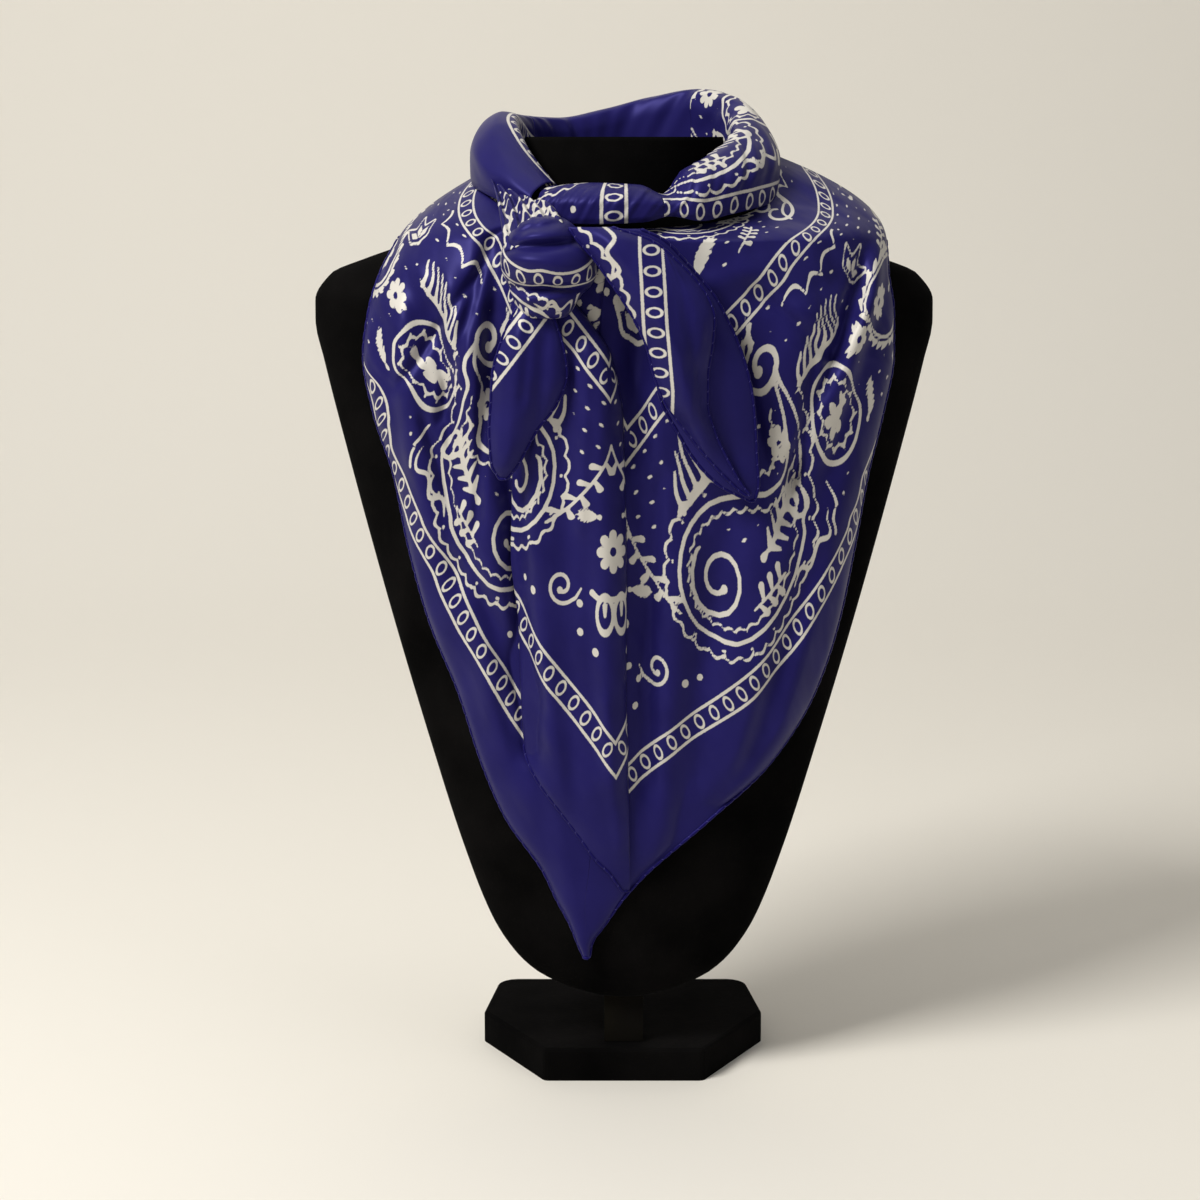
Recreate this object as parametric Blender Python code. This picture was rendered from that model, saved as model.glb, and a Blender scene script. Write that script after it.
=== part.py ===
"""A wild rag, the large square silk neck scarf, tied on a black velvet display bust.

The square is folded on its diagonal. The triangle lies on the chest in two layers, its sides go over the
shoulders, and its two ends go round the neck, cross behind it and are knotted in front.
The frame has +Z up, the front at -Y, and its origin at the middle of the base's underside.
Tables are in millimetres and the model is in metres.
"""

from math import cos, exp, hypot, pi, radians, sin
from types import SimpleNamespace

import bmesh
import bpy
from mathutils import Vector

MM = 0.001

# The display bust, in millimetres.
BASE_HEIGHT = 25.0
BASE_HALF_WIDTH = 82.0
BASE_BACK_HALF_WIDTH = 76.0
BASE_FRONT_HALF_WIDTH = 45.0
BASE_HALF_DEPTH = 63.0
BASE_SIDE_CORNER = 2.0
BASE_BACK_CORNER = 12.0
BASE_ROUNDING = 2.0
STEM_HALF_WIDTH = 11.0
STEM_DEPTH = 12.0
STEM_MIDDLE = -45.0
BUST_FOOT = 54.0
BUST_FULLNESS = 1.15

# The cloth, in millimetres.
WALL = 1.2
SEAM = 0.4
SKIN_GAP = 0.8
YOKE_LINE = 478.0
YOKE_SHARE = 0.26
CHEST_EASE = 1.15
WING_EASE = 0.5
PLEAT_EDGE = 0.6
PLEAT_SEAT = 0.9
TAIL_BULGE = 0.8
CROSSING_SWELL = 2.0
KNOT_SEAT = 2.8
KNOT_FULLNESS = 0.8
KNOT_BACK_SWELL = 1.5

VELVET = ("velvet_black", (0.004, 0.004, 0.004, 1.0), 0.95)
SILK = ("silk_blue", (0.024, 0.018, 0.160, 1.0), 0.42)


# Tables: a row for each section, and a smooth reading between the rows.
class Table:
    """Named columns over a first column that rises, read by a cubic that never overshoots a row."""

    def __init__(self, columns, rows):
        self.names = columns.split()
        self.rows = sorted(rows)

    def slope(self, index, column):
        rows = self.rows
        steps = [
            (rows[i + 1][column] - rows[i][column]) / (rows[i + 1][0] - rows[i][0])
            for i in (index - 1, index)
            if 0 <= i < len(rows) - 1
        ]
        before, after = steps[0], steps[-1]
        if before * after <= 0.0:
            return 0.0
        return 2.0 * before * after / (before + after)

    def at(self, station):
        rows = self.rows
        station = min(max(station, rows[0][0]), rows[-1][0])
        low = max(i for i in range(len(rows) - 1) if rows[i][0] <= station)
        span = rows[low + 1][0] - rows[low][0]
        t = (station - rows[low][0]) / span
        values = {}
        for column, name in enumerate(self.names):
            start, end = rows[low][column], rows[low + 1][column]
            leave = self.slope(low, column) * span
            arrive = self.slope(low + 1, column) * span
            values[name] = (
                start * (1 + 2 * t) * (1 - t) ** 2
                + leave * t * (1 - t) ** 2
                + end * t * t * (3 - 2 * t)
                + arrive * t * t * (t - 1)
            )
        return SimpleNamespace(**values)


BUST = Table(
    "height half_width side front back",
    [
        (54, 22, -45, -57, -34),
        (58, 35, -44, -61, -31),
        (66, 51, -42.5, -64, -27),
        (78, 63.5, -40.5, -66, -24),
        (96, 75, -38, -68, -20),
        (135, 90.5, -33, -71, -14),
        (190, 108, -27, -73, -8),
        (270, 131.5, -19, -73, 0),
        (365, 157, -10, -69, 12),
        (410, 168.5, -4, -64.3, 21),
        (432, 173.3, -1, -61.6, 26),
        (443, 173.3, 0, -58.8, 29),
        (458, 164, 2, -54, 34),
        (466, 145, 2, -52, 38),
        (474, 122, 3, -50, 42),
        (486, 90, 3, -48, 47),
        (500, 66, 3, -47, 51),
        (516, 56, 3, -47, 53),
        (533, 55, 3, -47, 53),
    ],
)

# The lower layer on the chest: its outline seen from the front, and its depth at both sides and the middle.
UNDER = Table(
    "height left right y_left y_front y_right",
    [
        (82, -22.5, -19.5, -72, -74, -72),
        (90, -26, -18, -71, -75, -71),
        (100, -30, -11, -70, -75, -70),
        (115, -38, -1, -68, -76, -70),
        (130, -45, 12, -66, -77, -68),
        (160, -66, 47, -62, -78, -63),
        (190, -79, 81, -59, -79, -58),
        (230, -92, 106, -55, -80, -53),
        (270, -108, 119, -52, -81, -50),
        (310, -119, 127, -48, -83, -47),
        (350, -127, 134, -45, -85, -44),
        (385, -138, 142, -43, -87, -43),
        (415, -143, 147, -41, -88, -42),
        (440, -140, 147, -36, -88, -38),
        (460, -134, 145, -27, -87, -27),
        (478, -125, 145, -14, -85, -12),
    ],
)

# Where the yoke of that layer slips under the collar, by the angle round the neck.
YOKE = Table(
    "angle radius height rise",
    [
        (180, 91, 511, 14),
        (200, 90, 504, 12),
        (220, 87, 494, 8),
        (240, 82, 487, 4),
        (270, 81, 484.5, 3),
        (285, 81, 485.5, 3),
        (300, 83, 487, 4),
        (320, 87, 491, 8),
        (335, 92, 499, 12),
        (350, 92, 514, 18),
        (360, 91, 523, 22),
    ],
)

# The hem behind each shoulder, from the outer corner (0) to the nape (1).
HEM_RIGHT = Table(
    "along x y height",
    [(0, 141, 14, 470), (0.25, 124, 36, 458), (0.5, 92, 44, 452), (0.75, 50, 57, 466), (1, 8, 84, 493)],
)
HEM_LEFT = Table(
    "along x y height",
    [(0, -124, 6, 478), (0.25, -115, 31, 473.5), (0.5, -88, 45, 461), (0.75, -48, 57, 468), (1, 4, 84, 494)],
)

# The upper layer's raised pleat below the knot, with its lift off the lower layer.
TOP = Table(
    "height left right lift",
    [
        (121, -1, 3, 1.2),
        (132, -8, 3, 1.3),
        (141, -14.5, 3, 1.9),
        (152, -20, 3, 4),
        (170, -31, 3, 6),
        (185, -48, 2, 7),
        (200, -55, 2, 7.5),
        (230, -57, 1, 8),
        (270, -58, 1, 9),
        (310, -62, 1, 9.5),
        (350, -61, 0, 9.5),
        (385, -60, -1, 9.5),
        (420, -59, -8, 9),
        (436, -58, -16, 7),
    ],
)

# The rolled ends round the neck, by the angle from +X, seen from above.
COLLAR = Table(
    "angle inner outer low top",
    [
        (-125, 62, 84, 489, 507),
        (-105, 61, 86, 487.5, 509),
        (-80, 61, 86, 488.5, 508),
        (-68, 61, 87, 489.5, 512),
        (-50, 60, 88, 492, 522),
        (-25, 60, 89, 497, 534),
        (0, 59, 86, 501, 545),
        (25, 58, 85, 505, 556),
        (50, 58, 82, 507, 560),
        (75, 58, 78, 505, 556),
        (100, 58, 77, 503, 549),
        (125, 58, 77, 503, 544),
        (150, 58, 80, 504, 545),
        (175, 58, 85, 506, 547),
        (195, 59, 87, 505, 541),
        (215, 60, 87, 500, 526),
        (235, 61, 85, 493, 508),
    ],
)

# The roll's section, from its inner edge over the rim to its lower lip, as shares of its breadth and height.
ROLL = Table(
    "along breadth height",
    [
        (0.0, 0.02, 0.30),
        (0.22, 0.00, 0.78),
        (0.36, 0.14, 0.97),
        (0.48, 0.38, 1.00),
        (0.62, 0.74, 0.86),
        (0.80, 1.00, 0.48),
        (0.92, 0.99, 0.16),
        (1.0, 0.93, 0.00),
    ],
)

# Stations down the roll's outer side, from its crest to its lip.
ROLL_OUTSIDE = [0.48 + 0.52 * step / 60.0 for step in range(61)]

# Each stretch of the collar: its name, where it starts and ends, and its columns.
COLLAR_STRETCHES = [
    ("collar_front", -125.0, -76.0, 8),
    ("collar_right", -75.5, 48.0, 16),
    ("collar_back", 48.6, 150.0, 12),
    ("collar_left", 150.6, 234.0, 12),
]

# The band that crosses over behind the neck.
CROSSING = Table(
    "angle middle half_height",
    [(62, 540, 9), (80, 534, 11), (98, 526, 12), (118, 518, 10)],
)

KNOT = Table(
    "height left right front",
    [
        (438, -54, -32, -104),
        (443, -57, -28, -110),
        (451, -60, -23, -113),
        (456, -62, -18, -113.5),
        (463, -65, -15, -118),
        (470, -66, -15, -119),
        (477, -64, -18, -116),
        (482, -62, -22, -115),
        (488, -56, -28, -110),
        (493, -48, -36, -102),
    ],
)

TAIL_RIGHT_FRONT = Table(
    "height left right depth bulge",
    [
        (345, 64, 67, -93.5, 0),
        (350, 58, 62.5, -94.8, 0),
        (365, 44, 54, -98, 1.2),
        (380, 32, 47, -101, 4),
        (395, 21, 43, -104, 8),
        (410, 15, 43, -106, 9),
        (425, 11, 45, -108, 10),
        (440, 4, 46, -109, 10),
        (450, -2, 43, -109, 10),
        (460, -9, 36, -109, 9),
        (470, -16, 26, -109, 8),
        (480, -25, 13, -108, 6),
        (487, -30, -8, -106, 3),
    ],
)
TAIL_RIGHT_BACK = Table(
    "height left right depth bulge",
    [
        (341.5, 66.5, 69, -89.5, 1),
        (350, 50, 71, -90.5, 2),
        (365, 36, 70, -91.5, 3),
        (380, 27, 69, -93.5, 4),
        (395, 19, 67.5, -95.5, 5),
        (410, 16, 64.5, -97, 6),
        (425, 13, 59.5, -98, 7),
        (440, 7, 52.5, -99, 7),
        (450, 1, 47, -100, 7),
        (460, -5, 39, -100, 6),
        (470, -8, 30, -101.5, 5),
        (480, -8, 20, -103.5, 3),
        (486, -5, 7, -104, 1),
    ],
)
TAIL_LEFT = Table(
    "height left right depth bulge",
    [
        (354, -67, -63, -94, 1),
        (362, -71, -57, -96, 3),
        (380, -72, -47, -97, 6),
        (395, -71, -36, -98, 8),
        (410, -70, -31, -99, 9),
        (425, -66, -33, -99, 8),
        (437.3, -61, -37, -99, 6),
    ],
)

# Folds: a soft ridge (rise above zero) or trough from its top to its bottom, as seen from the front.
FOLDS = {
    "front_under": [
        ("x_top", "z_top", "x_bottom", "z_bottom", "half_width", "rise"),
        (-104, 438, -92, 352, 8, -5),
        (-122, 430, -112, 330, 9, 3),
        (-90, 300, -54, 236, 9, -4),
        (-75, 250, -50, 180, 10, 3),
        (141, 470, 98, 372, 9, 6),
        (128, 452, 92, 352, 8, -4),
        (60, 470, 100, 440, 12, 4),
        (52, 330, 30, 190, 14, -2.5),
        (84, 300, 62, 170, 12, 2.5),
        (20, 470, 70, 400, 10, -3),
    ],
    "front_top": [
        ("x_top", "z_top", "x_bottom", "z_bottom", "half_width", "rise"),
        (-12, 410, -8, 190, 8, 3.5),
        (-34, 390, -28, 190, 8, -2.5),
        (-50, 340, -44, 220, 7, 1.5),
    ],
    "tail_right_front": [
        ("x_top", "z_top", "x_bottom", "z_bottom", "half_width", "rise"),
        (10, 460, 34, 400, 6, 1.5),
        (28, 455, 42, 400, 4, -1.5),
    ],
    "tail_left": [
        ("x_top", "z_top", "x_bottom", "z_bottom", "half_width", "rise"),
        (-42, 432, -46, 385, 5, -3),
        (-58, 430, -62, 370, 6, 1.5),
    ],
    "knot": [
        ("x_top", "z_top", "x_bottom", "z_bottom", "half_width", "rise"),
        (-64, 476, -18, 479, 3, -3.5),
        (-62, 455, -20, 456, 3, -4.0),
        (-45, 448, -42, 438, 4, -2),
    ],
}


def fold_height(name, x, height):
    """How far the folds named for a piece stand proud at a point seen from the front."""
    total = 0.0
    columns, *rows = FOLDS.get(name, [()])
    for row in rows:
        fold = SimpleNamespace(**dict(zip(columns, row)))
        run_x = fold.x_bottom - fold.x_top
        run_z = fold.z_bottom - fold.z_top
        length = hypot(run_x, run_z)
        along = ((x - fold.x_top) * run_x + (height - fold.z_top) * run_z) / length**2
        across = ((x - fold.x_top) * run_z - (height - fold.z_top) * run_x) / length
        outside = max(0.0, -along, along - 1.0) * length / (2.0 * fold.half_width)
        total += fold.rise * exp(-((across / fold.half_width) ** 2) - outside**2)
    return total


# Building blocks.
def material(kind):
    name, colour, roughness = kind
    made = bpy.data.materials.get(name)
    if made is None:
        made = bpy.data.materials.new(name)
        made.use_nodes = True
        shader = made.node_tree.nodes["Principled BSDF"]
        shader.inputs["Base Color"].default_value = colour
        shader.inputs["Roughness"].default_value = roughness
        shader.inputs["Metallic"].default_value = 0.0
    return made


def add_object(name, mesh_maker, kind):
    mesh = bpy.data.meshes.new(name)
    mesh_maker.to_mesh(mesh)
    mesh_maker.free()
    mesh.materials.append(material(kind))
    mesh.shade_smooth()
    made = bpy.data.objects.new(name, mesh)
    bpy.context.collection.objects.link(made)
    return made


def cloth_wall(name, surface, columns, rows):
    """A sheet whose outer face is surface(across, up) for shares from 0 to 1, with its wall behind it."""
    bm = bmesh.new()
    bmesh.ops.create_grid(bm, x_segments=columns, y_segments=rows, size=0.5)
    for vertex in bm.verts:
        across, up = vertex.co.x + 0.5, vertex.co.y + 0.5
        vertex.co = Vector(surface(across, up)) * MM
    made = add_object(name, bm, SILK)
    wall = made.modifiers.new("wall", "SOLIDIFY")
    wall.thickness = WALL * MM
    wall.offset = -1.0
    wall.use_rim = True
    wall.use_even_offset = False
    return made


def closed_body(name, rings, kind):
    """A solid through rings of equal point counts, closed flat at both ends."""
    bm = bmesh.new()
    loops = []
    for ring in rings:
        loop = [bm.verts.new(Vector(point) * MM) for point in ring]
        edges = [bm.edges.new((a, b)) for a, b in zip(loop, loop[1:] + loop[:1])]
        loops.append(edges)
    for lower, upper in zip(loops, loops[1:]):
        bmesh.ops.bridge_loops(bm, edges=lower + upper)
    for end in (loops[0], loops[-1]):
        bmesh.ops.holes_fill(bm, edges=end, sides=0)
    bmesh.ops.recalc_face_normals(bm, faces=bm.faces)
    return add_object(name, bm, kind)


def extruded_block(name, outline, bottom, height, rounding, kind):
    """A block with a plan outline, its edges rounded."""
    bm = bmesh.new()
    face = bm.faces.new([bm.verts.new((x * MM, y * MM, bottom * MM)) for x, y in outline])
    top = bmesh.ops.extrude_face_region(bm, geom=[face])["geom"]
    raised = [part for part in top if isinstance(part, bmesh.types.BMVert)]
    bmesh.ops.translate(bm, verts=raised, vec=(0.0, 0.0, height * MM))
    bmesh.ops.recalc_face_normals(bm, faces=bm.faces)
    if rounding:
        edges = [edge for edge in bm.edges if max(v.co.z for v in edge.verts) > (bottom + 0.5 * height) * MM]
        bmesh.ops.bevel(
            bm,
            geom=edges,
            offset=rounding * MM,
            segments=2,
            profile=0.5,
            affect="EDGES",
            material=-1,
        )
    return add_object(name, bm, kind)


# The display bust.
def bust_depth(x, height):
    """The chest's front face at a point seen from the front."""
    section = BUST.at(height)
    share = min(abs(x) / section.half_width, 1.0)
    return section.side + (section.front - section.side) * (1.0 - share * share) ** (BUST_FULLNESS / 2.0)


def bust_ring(height, points=40):
    section = BUST.at(height)
    ring = []
    for step in range(points):
        angle = 2.0 * pi * (step + 0.5) / points
        reach = section.back if sin(angle) > 0.0 else section.front
        depth = section.side + (reach - section.side) * abs(sin(angle)) ** BUST_FULLNESS
        ring.append((section.half_width * cos(angle), depth, height))
    return ring


def make_bust():
    heights = [54, 58, 64, 72, 84, 100, 120, 145, 175, 210, 250, 295, 340, 385, 420, 438]
    heights += [449, 457, 464, 470, 476, 483, 491, 500, 510, 522, 533]
    closed_body("bust", [bust_ring(height) for height in heights], VELVET)


def make_stand():
    outline = [
        (-BASE_FRONT_HALF_WIDTH, -BASE_HALF_DEPTH),
        (BASE_FRONT_HALF_WIDTH, -BASE_HALF_DEPTH),
        (BASE_HALF_WIDTH, BASE_SIDE_CORNER),
    ]
    for turn in range(5):
        angle = radians(22.5 * turn)
        x = BASE_BACK_HALF_WIDTH - BASE_BACK_CORNER * (1.0 - cos(angle))
        outline.append((x, BASE_HALF_DEPTH - BASE_BACK_CORNER * (1.0 - sin(angle))))
    outline += [(-x, y) for x, y in reversed(outline[3:])]
    outline.append((-BASE_HALF_WIDTH, BASE_SIDE_CORNER))
    extruded_block("base", outline, 0.0, BASE_HEIGHT, BASE_ROUNDING, VELVET)

    front, back = STEM_MIDDLE - STEM_DEPTH / 2.0, STEM_MIDDLE + STEM_DEPTH / 2.0
    half = STEM_HALF_WIDTH
    stem = [(-half, front), (half, front), (half, back), (-half, back)]
    bottom = BASE_HEIGHT + SEAM
    extruded_block("stem", stem, bottom, BUST_FOOT - SEAM - bottom, 0.0, VELVET)


# The triangle on the chest.
def under_depth(x, height):
    """The lower layer's outer face at a point seen from the front, kept clear of the chest."""
    row = UNDER.at(height)
    middle, half = (row.left + row.right) / 2.0, (row.right - row.left) / 2.0
    share = min(max((x - middle) / half, -1.0), 1.0)
    side = row.y_left + (row.y_right - row.y_left) * (share + 1.0) / 2.0
    swell = (1.0 - share * share) ** 0.5
    depth = side + (row.y_front - side) * swell
    depth -= fold_height("front_under", x, height) * min(1.0, 2.0 * swell)
    return min(depth, bust_depth(x, height) - SKIN_GAP - WALL)


def under_point(across, height):
    row = UNDER.at(height)
    middle, half = (row.left + row.right) / 2.0, (row.right - row.left) / 2.0
    x = middle - half * cos(pi * across)
    return Vector((x, under_depth(x, height), height))


def yoke_point(across, up):
    """From the chest layer's upper row (up 0) to the line under the collar (up 1), over a soft crest."""
    start = under_point(across, YOKE_LINE)
    climb = start - under_point(across, YOKE_LINE - 1.0)
    row = YOKE.at(180.0 + 180.0 * across)
    angle = radians(180.0 + 180.0 * across)
    end = Vector((row.radius * cos(angle), row.radius * sin(angle), row.height))
    crest = start + climb * row.rise
    return start * (1 - up) ** 2 + crest * 2 * up * (1 - up) + end * up * up


def make_front_under():
    lowest = UNDER.rows[0][0]

    def surface(across, up):
        if up > 1.0 - YOKE_SHARE:
            return yoke_point(across, (up - 1.0 + YOKE_SHARE) / YOKE_SHARE)
        share = up / (1.0 - YOKE_SHARE)
        return under_point(across, lowest + (YOKE_LINE - lowest) * share**CHEST_EASE)

    cloth_wall("front_under", surface, 24, 30)


def make_wing(name, across, hem):
    """From the yoke's side end, over the shoulder, to the hem behind, flattest at its outer corner."""
    outward = 1.0 if across > 0.5 else -1.0

    def surface(share, up):
        back = share if outward > 0.0 else 1.0 - share
        start = yoke_point(across, up)
        row = hem.at(up)
        seam = 2.0 * SEAM / (row.y - start.y)
        turn = seam + (pi / 2.0 - seam) * back
        bend = min(1.0, up / WING_EASE)
        reach = (seam + (1.0 - seam) * back) * (1.0 - bend) + sin(turn) * bend
        fall = back * (1.0 - bend) + (1.0 - cos(turn)) * bend
        x = start.x + (row.x - start.x) * fall
        y = start.y + (row.y - start.y) * reach
        z = start.z + (row.height - start.z) * fall
        return x, y, z

    cloth_wall(name, surface, 11, 8)


def top_depth(x, height):
    """The upper layer's outer face, a raised pleat over the lower layer."""
    row = TOP.at(height)
    middle, half = (row.left + row.right) / 2.0, (row.right - row.left) / 2.0
    share = min(abs(x - middle) / half, 1.0)
    swell = (1.0 - share * share) ** PLEAT_EDGE
    lift = (row.lift - WALL) * swell + fold_height("front_top", x, height) * swell
    return under_depth(x, height) - WALL - PLEAT_SEAT - max(lift, 0.0)


def front_panel(name, table, depth, columns, rows):
    """A panel seen from the front, between the left and right edges of its table."""
    lowest, highest = table.rows[0][0], table.rows[-1][0]

    def surface(across, up):
        height = lowest + (highest - lowest) * up
        row = table.at(height)
        middle, half = (row.left + row.right) / 2.0, (row.right - row.left) / 2.0
        x = middle - half * cos(pi * across)
        return x, depth(x, height), height

    cloth_wall(name, surface, columns, rows)


# The ends: collar, knot and tails.
def collar_point(angle, along, outset=0.0):
    row = COLLAR.at(angle)
    profile = ROLL.at(along)
    radius = row.inner + (row.outer - row.inner) * profile.breadth + outset
    height = row.low + (row.top - row.low) * profile.height
    turn = radians(angle)
    return radius * cos(turn), radius * sin(turn), height


def make_collar():
    for name, start, end, columns in COLLAR_STRETCHES:

        def surface(across, up, start=start, end=end):
            return collar_point(start + (end - start) * across, 1.0 - up)

        cloth_wall(name, surface, columns, 11)


def make_crossing():
    first, last = CROSSING.rows[0][0], CROSSING.rows[-1][0]

    def surface(across, up):
        angle = first + (last - first) * across
        row = CROSSING.at(angle)
        collar = COLLAR.at(angle)
        height = row.middle + row.half_height * (2.0 * up - 1.0)
        share = (height - collar.low) / (collar.top - collar.low)
        along = min(ROLL_OUTSIDE, key=lambda station: abs(ROLL.at(station).height - share))
        outset = WALL + SEAM + CROSSING_SWELL * (1.0 - (2.0 * up - 1.0) ** 2)
        x, y, _ = collar_point(angle, along, outset)
        return x, y, height

    cloth_wall("nape_cross", surface, 10, 6)


def knot_back():
    return UNDER.at(YOKE_LINE).y_front - KNOT_SEAT


def knot_ring(height, points=22):
    row = KNOT.at(height)
    middle, half = (row.left + row.right) / 2.0, (row.right - row.left) / 2.0
    back = knot_back()
    ring = []
    for step in range(points):
        angle = 2.0 * pi * step / points
        x = middle + half * cos(angle)
        if sin(angle) < 0.0:
            reach = row.front - fold_height("knot", x, height) - back
            y = back + reach * abs(sin(angle)) ** KNOT_FULLNESS
        else:
            y = back + KNOT_BACK_SWELL * sin(angle) ** 0.5
        ring.append((x, y, height))
    return ring


def make_knot():
    heights = [438, 440.5, 444, 448, 451, 453.5, 456, 459, 463, 467]
    heights += [471, 474, 477, 479, 482, 485, 488, 491, 493]
    closed_body("knot", [knot_ring(height) for height in heights], SILK)


def tail_depth(name, table):
    def depth(x, height):
        row = table.at(height)
        middle, half = (row.left + row.right) / 2.0, (row.right - row.left) / 2.0
        share = min(abs(x - middle) / half, 1.0)
        swell = (1.0 - share * share) ** TAIL_BULGE
        return row.depth - row.bulge * swell - fold_height(name, x, height) * swell

    return depth


def make_tails():
    for name, table, columns, rows in (
        ("tail_right_front", TAIL_RIGHT_FRONT, 8, 15),
        ("tail_right_back", TAIL_RIGHT_BACK, 8, 15),
        ("tail_left", TAIL_LEFT, 8, 10),
    ):
        front_panel(name, table, tail_depth(name, table), columns, rows)


def main():
    for old in list(bpy.data.objects):
        bpy.data.objects.remove(old)
    make_stand()
    make_bust()
    make_front_under()
    make_wing("wing_right", 1.0, HEM_RIGHT)
    make_wing("wing_left", 0.0, HEM_LEFT)
    front_panel("front_top", TOP, top_depth, 12, 24)
    make_collar()
    make_crossing()
    make_knot()
    make_tails()


main()
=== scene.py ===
# %% [markdown]
# # A wild rag on its display bust
# A wild rag is a large square silk neck scarf. This one is folded on its diagonal, laid over the shoulders of a
# black velvet display bust, wound round the neck and knotted in front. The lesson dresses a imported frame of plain
# solids: it keeps their places and gives each stretch of cloth its fine folds, its printed border and its hem.
# All lengths below are in millimetres, and the model itself is in metres.

# %% Load the frame
from functools import partial
from math import cos, pi, radians, sin
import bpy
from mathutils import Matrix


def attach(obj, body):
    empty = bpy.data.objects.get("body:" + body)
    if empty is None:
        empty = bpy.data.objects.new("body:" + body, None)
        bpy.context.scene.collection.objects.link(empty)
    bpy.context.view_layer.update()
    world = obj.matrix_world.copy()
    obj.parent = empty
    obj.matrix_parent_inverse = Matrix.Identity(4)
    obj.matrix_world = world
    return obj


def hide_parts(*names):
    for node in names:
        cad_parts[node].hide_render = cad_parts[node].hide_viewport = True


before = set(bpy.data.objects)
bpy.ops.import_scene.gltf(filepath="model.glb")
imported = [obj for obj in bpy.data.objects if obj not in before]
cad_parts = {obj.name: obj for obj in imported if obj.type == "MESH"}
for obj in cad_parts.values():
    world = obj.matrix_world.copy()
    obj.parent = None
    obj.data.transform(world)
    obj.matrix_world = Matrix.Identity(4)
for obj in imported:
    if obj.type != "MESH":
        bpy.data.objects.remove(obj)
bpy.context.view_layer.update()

from types import SimpleNamespace

import bmesh
import bpy
import numpy as np
from mathutils import Matrix, Vector

MM = 0.001

# %% [markdown]
# ## Camera, floor and light
# The photograph looks at the bust from a little above, so the camera stands 1.46 m in front of it and tips down
# ten degrees. A paper sweep, the floor that curves up into the wall, is what a product photographer uses: it has
# no horizon. Two large soft boxes light the silk. Large lights make the broad, gentle sheen that silk has.

# %% Camera
camera_data = bpy.data.cameras.new("camera")
camera_data.sensor_width = 36.0
camera_data.lens = 77.7
camera_data.dof.use_dof = False
camera = bpy.data.objects.new("camera", camera_data)
camera.location = (-0.0135, -1.461, 0.532)
camera.rotation_euler = (radians(79.9), 0.0, 0.0)
bpy.context.collection.objects.link(camera)
bpy.context.scene.camera = camera
print(f"camera: a {camera_data.lens} mm lens, {-camera.location.y:.2f} m in front and {camera.location.z:.2f} m up")


# %% Colours and nodes
def linear(hex_code):
    """An sRGB hex colour as the linear values that a shader socket takes."""
    values = []
    for start in (0, 2, 4):
        share = int(hex_code[start : start + 2], 16) / 255.0
        values.append(share / 12.92 if share <= 0.04045 else ((share + 0.055) / 1.055) ** 2.4)
    return (*values, 1.0)


def feed(tree, node, **values):
    """Feeds a node's inputs, by name or as _number: a socket is linked, text is a colour, and a number stays one."""
    for name, value in values.items():
        socket = node.inputs[int(name[1:])] if name[1:].isdigit() else node.inputs[name.replace("_", " ")]
        if isinstance(value, bpy.types.NodeSocket):
            tree.links.new(value, socket)
        else:
            socket.default_value = linear(value) if isinstance(value, str) else value


def add_node(tree, kind, settings=None, **values):
    """A node with its settings and its inputs."""
    node = tree.nodes.new(kind)
    for name, value in (settings or {}).items():
        setattr(node, name, value)
    feed(tree, node, **values)
    return node


def mixed(tree, share, first, second):
    """A colour between two, by a share from 0 to 1."""
    return add_node(tree, "ShaderNodeMix", {"data_type": "RGBA"}, _0=share, _6=first, _7=second).outputs[2]


def start_material(name, **values):
    """A new material, its tree and its shader, which takes the values."""
    made = bpy.data.materials.new(name)
    made.use_nodes = True
    shader = made.node_tree.nodes["Principled BSDF"]
    feed(made.node_tree, shader, **values)
    return made, made.node_tree, shader


# %% Floor and light
SWEEP_HALF_WIDTH = 4000.0
SWEEP = [(-3000, 0), (900, 0), (1300, 60), (1600, 260), (1750, 600), (1800, 1200), (1800, 4000)]


def make_sweep():
    """Matt background paper, drawn out as a strip along the sweep's side view."""
    bm = bmesh.new()
    profile = [bm.verts.new((-SWEEP_HALF_WIDTH * MM, y * MM, z * MM)) for y, z in SWEEP]
    edges = [bm.edges.new(pair) for pair in zip(profile, profile[1:])]
    pulled = bmesh.ops.extrude_edge_only(bm, edges=edges)["geom"]
    far_side = [part for part in pulled if isinstance(part, bmesh.types.BMVert)]
    bmesh.ops.translate(bm, verts=far_side, vec=(2.0 * SWEEP_HALF_WIDTH * MM, 0.0, 0.0))
    bmesh.ops.recalc_face_normals(bm, faces=bm.faces)
    mesh = bpy.data.meshes.new("paper_sweep")
    bm.to_mesh(mesh)
    bm.free()
    mesh.shade_smooth()
    sweep = bpy.data.objects.new("paper_sweep", mesh)
    bpy.context.collection.objects.link(sweep)
    smooth = sweep.modifiers.new("smooth", "SUBSURF")
    smooth.levels = smooth.render_levels = 3
    paper = start_material("matt_background_paper", Base_Color="EAE6DE", Roughness=0.95, Specular_IOR_Level=0.1)[0]
    mesh.materials.append(paper)


def add_soft_box(name, place, target, size, power, colour):
    """A square area light that faces its target."""
    data = bpy.data.lights.new(name, "AREA")
    data.shape = "SQUARE"
    data.size = size
    data.energy = power
    data.color = linear(colour)[:3]
    light = bpy.data.objects.new(name, data)
    light.location = place
    light.rotation_euler = (Vector(target) - Vector(place)).to_track_quat("-Z", "Y").to_euler()
    bpy.context.collection.objects.link(light)


make_sweep()
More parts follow.
